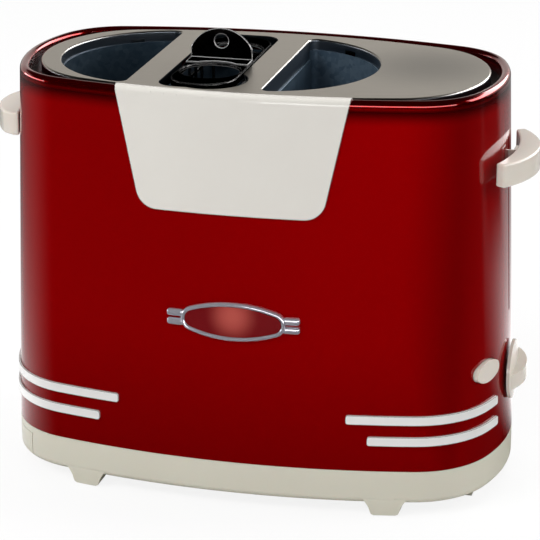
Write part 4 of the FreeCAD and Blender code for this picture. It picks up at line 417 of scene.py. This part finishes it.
def oval_line(length, depth, radii, fine):
    """A closed three-radius oval, anticlockwise from the front, arcs joined by tangency."""
    front, corner, end = radii
    long_centre = Vector((0, front - depth))
    end_centre = Vector((length - end, 0))
    line = end_centre - long_centre
    along = ((front - corner) ** 2 - (end - corner) ** 2 + line.length ** 2) / (2 * line.length)
    aside = math.sqrt((front - corner) ** 2 - along ** 2)
    line.normalize()
    middle = long_centre + line * along + Vector((-line.y, line.x)) * aside
    turn_long = math.atan2(middle.x, long_centre.y - middle.y)
    turn_end = math.atan2(-middle.y, middle.x - end_centre.x)
    quarter = math.pi / 2
    points = []
    for half_turn in (0, math.pi):
        sign = 1 if half_turn == 0 else -1
        for centre, radius, start, finish, pieces in (
                (long_centre, front, -quarter - turn_long, turn_long - quarter, 4 * fine),
                (middle, corner, turn_long - quarter, -turn_end, 3 * fine),
                (end_centre, end, -turn_end, turn_end, 3 * fine),
                (Vector((middle.x, -middle.y)), corner, turn_end, quarter - turn_long, 3 * fine)):
            points += arc(centre * sign, radius, half_turn + start, half_turn + finish, pieces)[:-1]
    return points


def guide(name, points, closed=True):
    """A line for a sweep, in millimetres, used once and then taken out."""
    data = bpy.data.curves.new(name, "CURVE")
    data.dimensions = "3D"
    spline = data.splines.new("POLY")
    spline.points.add(len(points) - 1)
    for point, place in zip(spline.points, points):
        point.co = (*[v * MM for v in place], *[0] * (3 - len(place)), 1)
    spline.use_cyclic_u = closed
    return put(name, data)


def sweep_tree(material):
    """Geometry Nodes: a section carried along a path, with its ends closed."""
    tree = bpy.data.node_groups.new("Sheet bent along a line", "GeometryNodeTree")
    for name, kind in (("Path", "NodeSocketObject"), ("Section", "NodeSocketObject"),
                       ("Close ends", "NodeSocketBool")):
        tree.interface.new_socket(name, in_out="INPUT", socket_type=kind)
    tree.interface.new_socket("Geometry", in_out="OUTPUT", socket_type="NodeSocketGeometry")
    given = add(tree, "NodeGroupInput")
    path = add(tree, "GeometryNodeObjectInfo", {"Object": given.outputs["Path"]})
    section = add(tree, "GeometryNodeObjectInfo", {"Object": given.outputs["Section"]})
    level = add(tree, "GeometryNodeSetCurveNormal", {"Curve": path.outputs["Geometry"]}, mode="Z_UP")
    bent = add(tree, "GeometryNodeCurveToMesh", {"Curve": level.outputs[0],
                                                 "Profile Curve": section.outputs["Geometry"],
                                                 "Fill Caps": given.outputs["Close ends"]})
    real = add(tree, "GeometryNodeRealizeInstances", {"Geometry": bent.outputs[0]})
    coated = add(tree, "GeometryNodeSetMaterial", {"Geometry": real.outputs[0], "Material": material})
    add(tree, "NodeGroupOutput", {"Geometry": coated.outputs[0]})
    return tree


def set_inputs(modifier, **values):
    """Sets the named inputs of a Geometry Nodes modifier by their sockets."""
    for item in modifier.node_group.interface.items_tree:
        if item.in_out == "INPUT" and item.name.replace(" ", "_") in values:
            modifier[item.identifier] = values[item.name.replace(" ", "_")]


def outward(mesh):
    """Merges doubles and turns every face outwards."""
    shape = bmesh.new()
    shape.from_mesh(mesh)
    bmesh.ops.remove_doubles(shape, verts=shape.verts, dist=1e-6)
    bmesh.ops.recalc_face_normals(shape, faces=shape.faces)
    shape.to_mesh(mesh)
    shape.free()


def swept(name, path, section, material, closed=True):
    """A piece whose section, given as distance outwards and height, follows a level path."""
    guides = [guide("path", path, closed), guide("section", [(out, -up) for out, up in section])]
    piece = put(name, bpy.data.meshes.new(name))
    bend = piece.modifiers.new("bend", "NODES")
    bend.node_group = sweep_tree(material)
    set_inputs(bend, Path=guides[0], Section=guides[1], Close_ends=not closed)
    settled(piece)
    for line in guides:
        bpy.data.objects.remove(line)
    outward(piece.data)
    return piece


def prism(name, outline, along, depth):
    """A straight bar: outline points in space, in millimetres, carried along a direction."""
    shape = bmesh.new()
    near = [shape.verts.new(Vector(p) * MM) for p in outline]
    far = [shape.verts.new((Vector(p) + Vector(along) * depth) * MM) for p in outline]
    count = len(outline)
    shape.faces.new(near)
    shape.faces.new(list(reversed(far)))
    for i in range(count):
        shape.faces.new((near[i], far[i], far[(i + 1) % count], near[(i + 1) % count]))
    bmesh.ops.recalc_face_normals(shape, faces=shape.faces)
    mesh = bpy.data.meshes.new(name)
    shape.to_mesh(mesh)
    shape.free()
    return put(name, mesh)


def pierce(piece, cutter):
    """Cuts one piece out of another."""
    hole = piece.modifiers.new("hole", "BOOLEAN")
    hole.solver = "EXACT"
    hole.object = cutter
    settled(piece)
    bpy.data.objects.remove(cutter)


def lens_line(half_length, half_height, end_radius, pieces=10):
    """A four-arc oval about zero: two long arcs and two rounded ends."""
    reach = half_length - end_radius
    rise = half_height ** 2 - end_radius ** 2
    long_radius = (reach ** 2 + rise) / (2 * (half_height - end_radius))
    turn = math.atan2(reach, long_radius - half_height)
    quarter = math.pi / 2
    return (arc((0, long_radius - half_height), long_radius, -quarter - turn, turn - quarter, pieces)[:-1]
            + arc((reach, 0), end_radius, turn - quarter, quarter - turn, pieces)[:-1]
            + arc((0, half_height - long_radius), long_radius, quarter - turn, quarter + turn, pieces)[:-1]
            + arc((-reach, 0), end_radius, quarter + turn, 3 * quarter - turn, pieces)[:-1])


enamel_red, painted_shade_red = "#8c0002", "#2a0001"
red_enamel, tree, shader = finish_named("baked_red_enamel", enamel_red, Metallic=0.3, Roughness=0.45,
                                        Specular_IOR_Level=0.0, Coat_Weight=1.0, Coat_Roughness=0.035,
                                        Coat_IOR=1.5)
place = add(tree, "ShaderNodeTexCoord")
# Orange peel in the lacquer is about 2 mm across. The metal flakes are finer than the render
# can show, so they are drawn 0.35 mm apart.
peel = add(tree, "ShaderNodeTexNoise", {"Vector": place.outputs["Object"], "Scale": 1 / (2.2 * MM),
                                        "Detail": 1.0})
lacquer = add(tree, "ShaderNodeBump", {"Height": peel.outputs["Fac"], "Distance": 0.004 * MM,
                                       "Strength": 0.5})
tree.links.new(lacquer.outputs[0], shader.inputs["Coat Normal"])
flake = add(tree, "ShaderNodeTexNoise", {"Vector": place.outputs["Object"], "Scale": 1 / (0.35 * MM),
                                         "Detail": 3.0})
glint = add(tree, "ShaderNodeMapRange", {"Value": flake.outputs["Fac"], "From Min": 0.3, "From Max": 0.7,
                                         "To Min": 0.36, "To Max": 0.46})
# The wall is full of flakes. On the roll the sheet is polished, so it mirrors like tinted metal.
roll_foot, roll_bright = rim_top - 5.5, rim_top - 2.6
wall_metal, roll_metal = 0.3, 0.94
where = add(tree, "ShaderNodeSeparateXYZ", {"Vector": place.outputs["Object"]})
on_roll = add(tree, "ShaderNodeMapRange", {"Value": where.outputs["Z"], "From Min": roll_foot * MM,
                                           "From Max": roll_bright * MM}, interpolation_type="SMOOTHSTEP")
metal = add(tree, "ShaderNodeMapRange", {"Value": on_roll.outputs[0], "To Min": wall_metal,
                                         "To Max": roll_metal})
tree.links.new(metal.outputs[0], shader.inputs["Metallic"])
rough = add(tree, "ShaderNodeMix", {"Factor": on_roll.outputs[0], "A": glint.outputs[0], "B": 0.2})
tree.links.new(rough.outputs["Result"], shader.inputs["Roughness"])
# Just below the roll the base colour is darkened, a painted shade.
rim_shade_start, rim_shade_full = rim_top - 13.0, rim_top - 4.0
rim_shade_rise = add(tree, "ShaderNodeMapRange", {"Value": where.outputs["Z"], "From Min": rim_shade_start * MM,
                                          "From Max": rim_shade_full * MM}, interpolation_type="SMOOTHSTEP")
rim_shade = add(tree, "ShaderNodeMath", {0: rim_shade_rise.outputs[0], 1: on_roll.outputs[0]}, operation="SUBTRACT",
            use_clamp=True)
rim_shaded_red = add(tree, "ShaderNodeMix", {"Factor": rim_shade.outputs[0], "A": linear(enamel_red),
                                    "B": linear(painted_shade_red)}, data_type="RGBA")
# The colour is also darkened a little towards the foot and round the corners at the lever end, a painted
# shade.
foot_shade, corner_shade = 0.3, 0.4
foot_low, foot_high = 20 * MM, 90 * MM
corner_near = 82 * MM, 112 * MM
corner_far = 107 * MM, 122 * MM
shade_to_foot = add(tree, "ShaderNodeMapRange", {"Value": where.outputs["Z"], "From Min": foot_low,
                                            "From Max": foot_high, "To Min": foot_shade, "To Max": 0.0})
shade_to_corner = add(tree, "ShaderNodeMapRange", {"Value": where.outputs["X"], "From Min": corner_near[0],
                                              "From Max": corner_near[1], "To Max": corner_shade},
                 interpolation_type="SMOOTHSTEP")
shade_past_corner = add(tree, "ShaderNodeMapRange", {"Value": where.outputs["X"], "From Min": corner_far[0],
                                               "From Max": corner_far[1], "To Min": 1.0, "To Max": 0.1},
                  interpolation_type="SMOOTHSTEP")
corner_shading = add(tree, "ShaderNodeMath", {0: shade_to_corner.outputs[0], 1: shade_past_corner.outputs[0]},
                operation="MULTIPLY")
painted_shade = add(tree, "ShaderNodeMath", {0: shade_to_foot.outputs[0], 1: corner_shading.outputs[0]},
               operation="MAXIMUM")
shaded_red = add(tree, "ShaderNodeMix", {"Factor": painted_shade.outputs[0], "A": rim_shaded_red.outputs["Result"],
                                    "B": linear(painted_shade_red)}, data_type="RGBA")
tree.links.new(shaded_red.outputs["Result"], shader.inputs["Base Color"])

rolled = rim_top - rim_inner
crest = -case_lean - rim_outer
inside = crest - rim_inner
quarter = math.pi / 2
roll_start = rim_top - rim_outer
wall_height = roll_start - case_foot
wall_rows = 12
outer_wall = [(-case_lean * i / wall_rows, case_foot + wall_height * i / wall_rows) for i in range(wall_rows)]
section = (outer_wall + arc((crest, roll_start), rim_outer, 0, quarter, 8)[:-1]
           + arc((crest, rolled), rim_inner, quarter, 2 * quarter, 8)
           + [(inside, turned_edge), (inside + case_sheet, turned_edge)]
           + arc((crest, rolled), rim_inner - case_sheet, 2 * quarter, quarter, 6)[:-1]
           + arc((crest, roll_start), rim_outer - case_sheet, quarter, 0, 6)
           + [(-case_sheet, case_foot)])
case_line = oval_line(half_length, half_depth, case_radii, 8)
case = swept("body_shell_made", case_line, section, red_enamel)

# Lever slot, knob hole and stop button hole at the lever end, cut as the pieces in them need.
cut_depth = 12.0
cut_start = half_length + 2.0
slot_half, slot_low, slot_high = 1.3, 91.0, 183.0
slot_end = slot_half * 0.9
slot_line = []
for turn, (y, z) in enumerate(((slot_half, slot_high), (-slot_half, slot_high), (-slot_half, slot_low),
                               (slot_half, slot_low))):
    centre = (y - math.copysign(slot_end, y), z - math.copysign(slot_end, z - (slot_low + slot_high) / 2))
    slot_line += arc(centre, slot_end, turn * quarter, (turn + 1) * quarter, 5)
pierce(case, prism("slot_cut", [(cut_start, y, z) for y, z in slot_line], (-1, 0, 0), cut_depth))
knob_axis, shaft_hole = 59.5, 4.2
shaft_line = arc((0, knob_axis), shaft_hole, 0, 4 * quarter, 32)[:-1]
pierce(case, prism("shaft_cut", [(cut_start, y, z) for y, z in shaft_line], (-1, 0, 0), cut_depth))
button_turn = math.radians(20.0)
button_way = Vector((math.cos(button_turn), -math.sin(button_turn), 0))
button_side = Vector((math.sin(button_turn), math.cos(button_turn), 0))
button_y, button_height = -34.0, 70.4
button_hole = 10.8, 6.0, 4.4
button_ahead, button_depth = 5, 14.0
button_lean = case_lean * (button_height - case_foot) / wall_height
end_radius = case_radii[2]
button_x = half_length - end_radius + math.sqrt((end_radius - button_lean) ** 2 - button_y ** 2)
button_start = Vector((button_x, button_y, button_height)) + button_way * button_ahead
button_line = [button_start + button_side * u + Vector((0, 0, v)) for u, v in lens_line(*button_hole)]
pierce(case, prism("button_cut", button_line, -button_way, button_depth))
smoothed(case.data, 40)
weigh(case)
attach(case, "body")
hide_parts("body_shell")


# ---- Front plate
# A thin steel sheet in ivory vitreous enamel, glued to the front of the case and hooked over
# its rim. The enamel is smooth and glassy, with a slow waviness.
edge_cosine, flat_cosine = 0.93, 0.992


def paint_edge_shade_and_highlight(tree, shader, radius, colour):
    """Rounds the edges in the shading and paints them one colour, dark for painted shade or light for a
    painted highlight; gives how flat each place is, from 0 to 1.
    """
    rounded = add(tree, "ShaderNodeBevel", {"Radius": radius * MM}, samples=6)
    facing = add(tree, "ShaderNodeNewGeometry")
    likeness = add(tree, "ShaderNodeVectorMath", {0: rounded.outputs[0], 1: facing.outputs["Normal"]},
                   operation="DOT_PRODUCT")
    flat = add(tree, "ShaderNodeMapRange", {"Value": likeness.outputs["Value"], "From Min": edge_cosine,
                                            "From Max": flat_cosine})
    base = shader.inputs["Base Color"]
    inner = base.links[0].from_socket if base.links else base.default_value[:]
    mix = add(tree, "ShaderNodeMix", {"Factor": flat.outputs[0], "A": linear(colour), "B": inner},
              data_type="RGBA")
    tree.links.new(mix.outputs["Result"], base)
    if not shader.inputs["Normal"].links:
        tree.links.new(rounded.outputs[0], shader.inputs["Normal"])
    return flat


ivory_enamel, tree, shader = finish_named("vitreous_ivory_enamel", "#d9d6cf", Roughness=0.22, IOR=1.52,
                                          Coat_Weight=0.6, Coat_Roughness=0.04)
place = grain(tree, shader, 6.0, 0.02, 1.0)
tint(tree, shader, place, ("#d8d5ce", "#d3cfc8"), 45.0)
# A dark line is painted along the edges of the sheet, partly its dark glue line and partly painted shade.
paint_edge_shade_and_highlight(tree, shader, 0.7, "#241c1a")
dress("front_plate", ivory_enamel)


# ---- Plaque and trim strips
# The plaque is a chromed, domed rim with two bars each side, round a field of red enamel.
# The strips are bright anodised aluminium, brushed along their length and glued on.
chrome, tree, shader = finish_named("polished_chrome", "#e6e4f0", Metallic=0.72, Roughness=0.12)
grain(tree, shader, 1.5, 0.002)
badge_red, tree, shader = finish_named("glassy_red_enamel", "#b02a30", Metallic=0.3, Roughness=0.25,
                                       Coat_Weight=1.0, Coat_Roughness=0.03)
place = grain(tree, shader, 1.2, 0.006)
low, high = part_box("badge_bezel")
plaque_x, plaque_z = (low.x + high.x) / 2 / MM, (low.z + high.z) / 2 / MM
# A painted highlight lies just above the middle of the enamel, and the colour turns deep red towards both
# ends.
highlight_rise, highlight_reach, highlight_fade = 3.0, 1.0, 14.5
centred = add(tree, "ShaderNodeMapping", {"Vector": place.outputs["Object"], "Location": (
    -plaque_x * MM, 0.0, -(plaque_z + highlight_rise) * MM)})
apart = add(tree, "ShaderNodeVectorMath", {0: centred.outputs[0], 1: (1.0, 0.0, 1.0)}, operation="MULTIPLY")
away = add(tree, "ShaderNodeVectorMath", {0: apart.outputs[0]}, operation="LENGTH")
highlight_falloff = add(tree, "ShaderNodeMapRange", {"Value": away.outputs["Value"], "From Min": highlight_reach * MM,
                                        "From Max": highlight_fade * MM}, interpolation_type="SMOOTHSTEP")
clear = add(tree, "ShaderNodeMix", {"Factor": highlight_falloff.outputs[0], "A": linear("#c85a50"),
                                    "B": linear("#7c0810")}, data_type="RGBA")
tree.links.new(clear.outputs["Result"], shader.inputs["Base Color"])
dress("badge_enamel", badge_red)
plaque_rise, plaque_foot = 1.9, 0.1


def on_wall(across, up, out):
    """A place on the leaning front of the case, out from it, for a place on the plaque."""
    lean = case_lean * (plaque_z + up - case_foot) / wall_height
    centre = case_radii[0] - half_depth
    radius = case_radii[0] - lean
    x = plaque_x + across
    turn = math.asin(x / radius)
    return Vector((x + out * math.sin(turn), centre - math.sqrt(radius ** 2 - x ** 2) - out * math.cos(turn),
                   plaque_z + up)) * MM


def domed(name, line, wide, closed):
    """A rounded band on the case; line gives its outline at an inset. It is a ring, or closed over."""
    shape = bmesh.new()
    turns = [math.pi * i / 12 for i in range(7 if closed else 13)]
    height = plaque_rise - plaque_foot
    rows = [(0.0, plaque_foot)] + [(wide * (0.5 - 0.5 * math.cos(turn)),
                                    plaque_foot + height * (0.45 + 0.55 * math.sin(turn))) for turn in turns]
    if not closed:
        rows.append((wide, plaque_foot))
    loops = [[shape.verts.new(on_wall(x, z, out)) for x, z in line(inset)] for inset, out in rows]
    if not closed:
        loops.append(loops[0])
    for near, far in zip(loops, loops[1:]):
        for i in range(len(near)):
            shape.faces.new((near[i], near[(i + 1) % len(near)], far[(i + 1) % len(near)], far[i]))
    if closed:
        shape.faces.new(loops[0][::-1])
        shape.faces.new(loops[-1])
    bmesh.ops.recalc_face_normals(shape, faces=shape.faces)
    mesh = bpy.data.meshes.new(name)
    shape.to_mesh(mesh)
    shape.free()
    piece = put(name, mesh)
    piece.data.materials.append(chrome)
    smoothed(piece.data, 60)
    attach(piece, "body")
    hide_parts("badge_bezel")


frame_half_length, frame_half_height, frame_end, frame_wide = 26.6, 9.8, 6.4, 2.0
bar_inner, bar_outer, bar_low, bar_high = 25.2, 33.8, 0.6, 4.0
bar_corner, bar_wide = 1.3, 3.2


def frame_line(inset):
    """Outline of the plaque's frame."""
    return lens_line(frame_half_length - inset, frame_half_height - inset, frame_end - inset, 16)


def bar_line(side, end, inset):
    """Outline of a side bar of the plaque, rounded at its corners."""
    points = []
    corner = max(bar_corner - inset, 0.05)
    across, up = (bar_inner + bar_outer) / 2, (bar_low + bar_high) / 2
    for turn, (x, z) in enumerate(((bar_outer, bar_high), (bar_inner, bar_high), (bar_inner, bar_low),
                                   (bar_outer, bar_low))):
        middle = (x - math.copysign(inset + corner, x - across), z - math.copysign(inset + corner, z - up))
        points += arc(middle, corner, turn * quarter, (turn + 1) * quarter, 5)
    return [(side * x, end * z) for x, z in points]


domed("badge_frame", frame_line, frame_wide, False)
for side in (-1, 1):
    for end in (-1, 1):
        domed("badge_bar_%s_%s" % ("left" if side < 0 else "right", "low" if end < 0 else "high"),
              lambda inset: bar_line(side, end, inset), bar_wide, True)

bright_trim, tree, shader = finish_named("bright_aluminium", "#f2f2f0", Metallic=0.25, Roughness=0.3)
place = add(tree, "ShaderNodeTexCoord")
# Brush lines 0.3 mm apart, drawn 25 times longer than wide.
drawn = add(tree, "ShaderNodeMapping", {"Vector": place.outputs["Object"], "Scale": (1 / 25, 1 / 25, 1.0)})
lines = add(tree, "ShaderNodeTexNoise", {"Vector": drawn.outputs[0], "Scale": 1 / (0.3 * MM), "Detail": 2.0})
relief = add(tree, "ShaderNodeBump", {"Height": lines.outputs["Fac"], "Distance": 0.006 * MM})
tree.links.new(relief.outputs[0], shader.inputs["Normal"])
# The edges of the strips are painted dark, a painted shadow.
paint_edge_shade_and_highlight(tree, shader, 0.5, "#3a3436")
for node in ("trim_upper_left", "trim_upper_right", "trim_lower_left", "trim_lower_right"):
    dress(node, bright_trim, 40)


# ---- Top panel
# One pressing of 0.8 mm stainless steel, with a rolled edge, turned-down collars round its
# openings and a surface brushed along its length.
brushed_steel, tree, shader = finish_named("brushed_stainless_steel", "#d2ccc1", Metallic=1.0, Roughness=0.30,
                                           Anisotropic=0.5)
place = add(tree, "ShaderNodeTexCoord")
# Brush lines 0.3 mm apart, drawn 30 times longer than wide.
drawn = add(tree, "ShaderNodeMapping", {"Vector": place.outputs["Object"], "Scale": (1 / 30, 1.0, 0.2)})
lines = add(tree, "ShaderNodeTexNoise", {"Vector": drawn.outputs[0], "Scale": 1 / (0.3 * MM), "Detail": 3.0})
relief = add(tree, "ShaderNodeBump", {"Height": lines.outputs["Fac"], "Distance": 0.004 * MM})
tree.links.new(relief.outputs[0], shader.inputs["Normal"])
shade = add(tree, "ShaderNodeMix", {"Factor": lines.outputs["Fac"], "A": linear("#c9c3b8"),
                                    "B": linear("#dbd5ca")}, data_type="RGBA")
# The turned-down collars are painted darker than the flat, and the flat is painted darker round one spot at
# the lever end; both are painted shade.
shade_spot, shade_reach, shade_least = (0.084, 0.012, 0.226), (5 * MM, 55 * MM), 0.45
facing = add(tree, "ShaderNodeNewGeometry")
upward = add(tree, "ShaderNodeSeparateXYZ", {"Vector": facing.outputs["Normal"]})
level = add(tree, "ShaderNodeMapRange", {"Value": upward.outputs["Z"], "From Min": 0.2, "From Max": 0.75})
spot = add(tree, "ShaderNodeVectorMath", {0: place.outputs["Object"], 1: shade_spot}, operation="DISTANCE")
shade_patch = add(tree, "ShaderNodeMapRange", {"Value": spot.outputs["Value"], "From Min": shade_reach[0],
                                         "From Max": shade_reach[1], "To Min": shade_least, "To Max": 1.0},
            interpolation_type="SMOOTHSTEP")
flat = add(tree, "ShaderNodeMix", {"Factor": shade_patch.outputs[0], "A": linear("#5e5c58"),
                                   "B": shade.outputs["Result"]}, data_type="RGBA")
turned = add(tree, "ShaderNodeMix", {"Factor": level.outputs[0], "A": linear("#7c838c"),
                                     "B": flat.outputs["Result"]}, data_type="RGBA")
tree.links.new(turned.outputs["Result"], shader.inputs["Base Color"])
brushed = add(tree, "ShaderNodeCombineXYZ", {"X": 1.0})
tree.links.new(brushed.outputs[0], shader.inputs["Tangent"])
dress("top_panel", brushed_steel, 50)


# ---- Bun wells and sausage well
# Sheets of galvanised steel, bent and held between the chassis plate and the panel. Hot
# zinc has a bluish bloom of crystals, here 2.5 mm across.
galvanised, tree, shader = finish_named("galvanised_sheet", "#566b7c", Metallic=0.55, Roughness=0.3)
place = add(tree, "ShaderNodeTexCoord")
crystals = add(tree, "ShaderNodeTexVoronoi", {"Vector": place.outputs["Object"], "Scale": 1 / (2.5 * MM)})
shine = add(tree, "ShaderNodeMapRange", {"Value": crystals.outputs["Color"], "To Min": 0.28, "To Max": 0.46})
tree.links.new(shine.outputs[0], shader.inputs["Roughness"])
bloom = add(tree, "ShaderNodeMix", {"Factor": crystals.outputs["Color"], "A": linear("#566c80"),
                                    "B": linear("#788d9e")}, data_type="RGBA")
# The well at the grip end is painted darker, a painted shade.
well_shade_full, well_shade_none = -0.08, 0.07
across = add(tree, "ShaderNodeSeparateXYZ", {"Vector": place.outputs["Object"]})
well_shade = add(tree, "ShaderNodeMapRange", {"Value": across.outputs["X"], "From Min": well_shade_full,
                                           "From Max": well_shade_none, "To Min": 0.75, "To Max": 0.0})
shaded_zinc = add(tree, "ShaderNodeMix", {"Factor": well_shade.outputs[0], "A": bloom.outputs["Result"],
                                   "B": linear("#152733")}, data_type="RGBA")
tree.links.new(shaded_zinc.outputs["Result"], shader.inputs["Base Color"])
for node in ("bun_chamber_left", "bun_chamber_right", "bun_guard_left", "bun_guard_right",
             "sausage_guard_left", "sausage_guard_right", "sausage_end_front", "sausage_end_back"):
    dress(node, galvanised)


# ---- Heaters
# Two boards of pressed mica, mottled brown and slightly glossy, each wound with a flat
# ribbon of nickel-chromium that heat has dulled.
mica, tree, shader = finish_named("pressed_mica", "#8f7f63", Roughness=0.42, IOR=1.58)
place = grain(tree, shader, 1.0, 0.02)
tint(tree, shader, place, ("#9a8a6c", "#7d6c50"), 9.0)
nichrome, tree, shader = finish_named("oxidised_nichrome", "#6f6a66", Metallic=1.0, Roughness=0.45)
place = grain(tree, shader, 0.4, 0.004)
tint(tree, shader, place, ("#6b6562", "#7c7570"), 6.0)
for side in ("left", "right"):
    dress("heater_board_" + side, mica)
    dress("heater_ribbon_" + side, nichrome)


# ---- Sausage basket
# A drawn frame with two round holes and a folded lifting tab, and a cage of wires and hoops
# below it, all of polished stainless steel. The same steel makes the two guide rods.
# Its colour is kept low, a painted reflection of the dark around it.
polished_steel, tree, shader = finish_named("polished_stainless_steel", "#1e1c1b", Metallic=1.0,
                                            Roughness=0.1, Specular_Tint=linear("#282828"))
# The edges of the pressings are rounded by 0.8 mm in the shading and painted light, a painted highlight.
flat = paint_edge_shade_and_highlight(tree, shader, 0.8, "#e6e5e5")
edge_highlight = add(tree, "ShaderNodeMapRange", {"Value": flat.outputs[0], "To Min": 0.35, "To Max": 1.0})
tree.links.new(edge_highlight.outputs[0], shader.inputs["Metallic"])
for node in ("basket_frame", "basket_tab", "basket_floor", "basket_hoops", "basket_wires", "guide_rods"):
    dress(node, polished_steel, 50)


# ---- Carriage, latch and electrics
# A block of black nylon on the guide rods, an electromagnet with an iron yoke and a copper
# winding, and a green circuit board with the timer on it. The panel's ledge is iron too.
black_nylon, tree, shader = finish_named("black_nylon", "#1b1b1c", Roughness=0.5, IOR=1.53)
grain(tree, shader, 0.4, 0.02)
for node in ("carriage_block", "timer_case", "stop_switch"):
    dress(node, black_nylon)
iron, tree, shader = finish_named("rolled_iron", "#4a4a4c", Metallic=1.0, Roughness=0.5)
grain(tree, shader, 0.6, 0.01)
dress("magnet_yoke", iron)
dress("panel_ledge", iron)
copper, tree, shader = finish_named("enamelled_copper", "#b5653a", Metallic=1.0, Roughness=0.28)
place = add(tree, "ShaderNodeTexCoord")
turns = add(tree, "ShaderNodeTexWave", {"Vector": place.outputs["Object"], "Scale": 1 / (6.0 * MM)},
            bands_direction="Z")
relief = add(tree, "ShaderNodeBump", {"Height": turns.outputs["Fac"], "Distance": 0.1 * MM})
tree.links.new(relief.outputs[0], shader.inputs["Normal"])
dress("magnet_coil", copper)
solder_mask, tree, shader = finish_named("green_solder_mask", "#1e5a34", Roughness=0.35, IOR=1.5)
place = grain(tree, shader, 0.8, 0.01)
tint(tree, shader, place, ("#1c5531", "#2a6a3c"), 3.0)
dress("circuit_board", solder_mask)


# ---- Lever, grip, knob and stop button
# Warm ivory ABS, moulded in polished tools, so they are glossier than the base. The grip is
# screwed to the case, and the others move.
ivory_gloss, tree, shader = finish_named("polished_ivory_abs", "#e2dbd1", Roughness=0.2, IOR=1.53,
                                         Subsurface_Weight=0.08, Subsurface_Scale=0.004, Coat_Weight=0.3,
                                         Coat_Roughness=0.05)
place = grain(tree, shader, 1.4, 0.006)
tint(tree, shader, place, ("#d9d2c8", "#d4ccc1"), 30.0)
for node in ("lever_handle", "lever_arm", "timer_knob", "stop_button"):
    dress(node, ivory_gloss)

# The fixed grip is a full half-moon block that stands against the case.
low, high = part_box("side_grip")
grip_low, grip_high = low.z / MM, high.z / MM
grip_short, grip_gap = 1.0, 0.5
grip_reach = -low.x / MM - grip_short
grip_lean = case_lean * (grip_low - case_foot) / wall_height
behind_radius = case_radii[2] - grip_lean + grip_gap
grip_half, grip_crown = 27.0, 36.0
crown_half, tip_length = 23.5, 5.4
grip_middle = grip_reach - grip_crown
crown_turn = math.asin(crown_half / grip_crown)
behind_turn = math.asin(grip_half / behind_radius)
outer_arc = arc((-grip_middle, 0), grip_crown, math.pi - crown_turn, math.pi + crown_turn, 28)
inner_arc = arc((case_radii[2] - half_length, 0), behind_radius, math.pi + behind_turn,
                math.pi - behind_turn, 16)
tip_x = -grip_middle - grip_crown * math.cos(crown_turn) + tip_length
tip_y = grip_half - 0.2
outline = outer_arc + [(tip_x, -tip_y)] + inner_arc + [(tip_x, tip_y)]
grip = prism("side_grip_made", [(x, y, grip_low) for x, y in outline], (0, 0, 1), grip_high - grip_low)
rounding = grip.modifiers.new("edges", "BEVEL")
rounding.width = 1.2 * MM
rounding.segments = 4
rounding.limit_method = "ANGLE"
rounding.angle_limit = math.radians(50)
settled(grip)
grip.data.materials.append(ivory_gloss)
smoothed(grip.data, 60)
weigh(grip)
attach(grip, bodies["side_grip"])
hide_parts("side_grip")
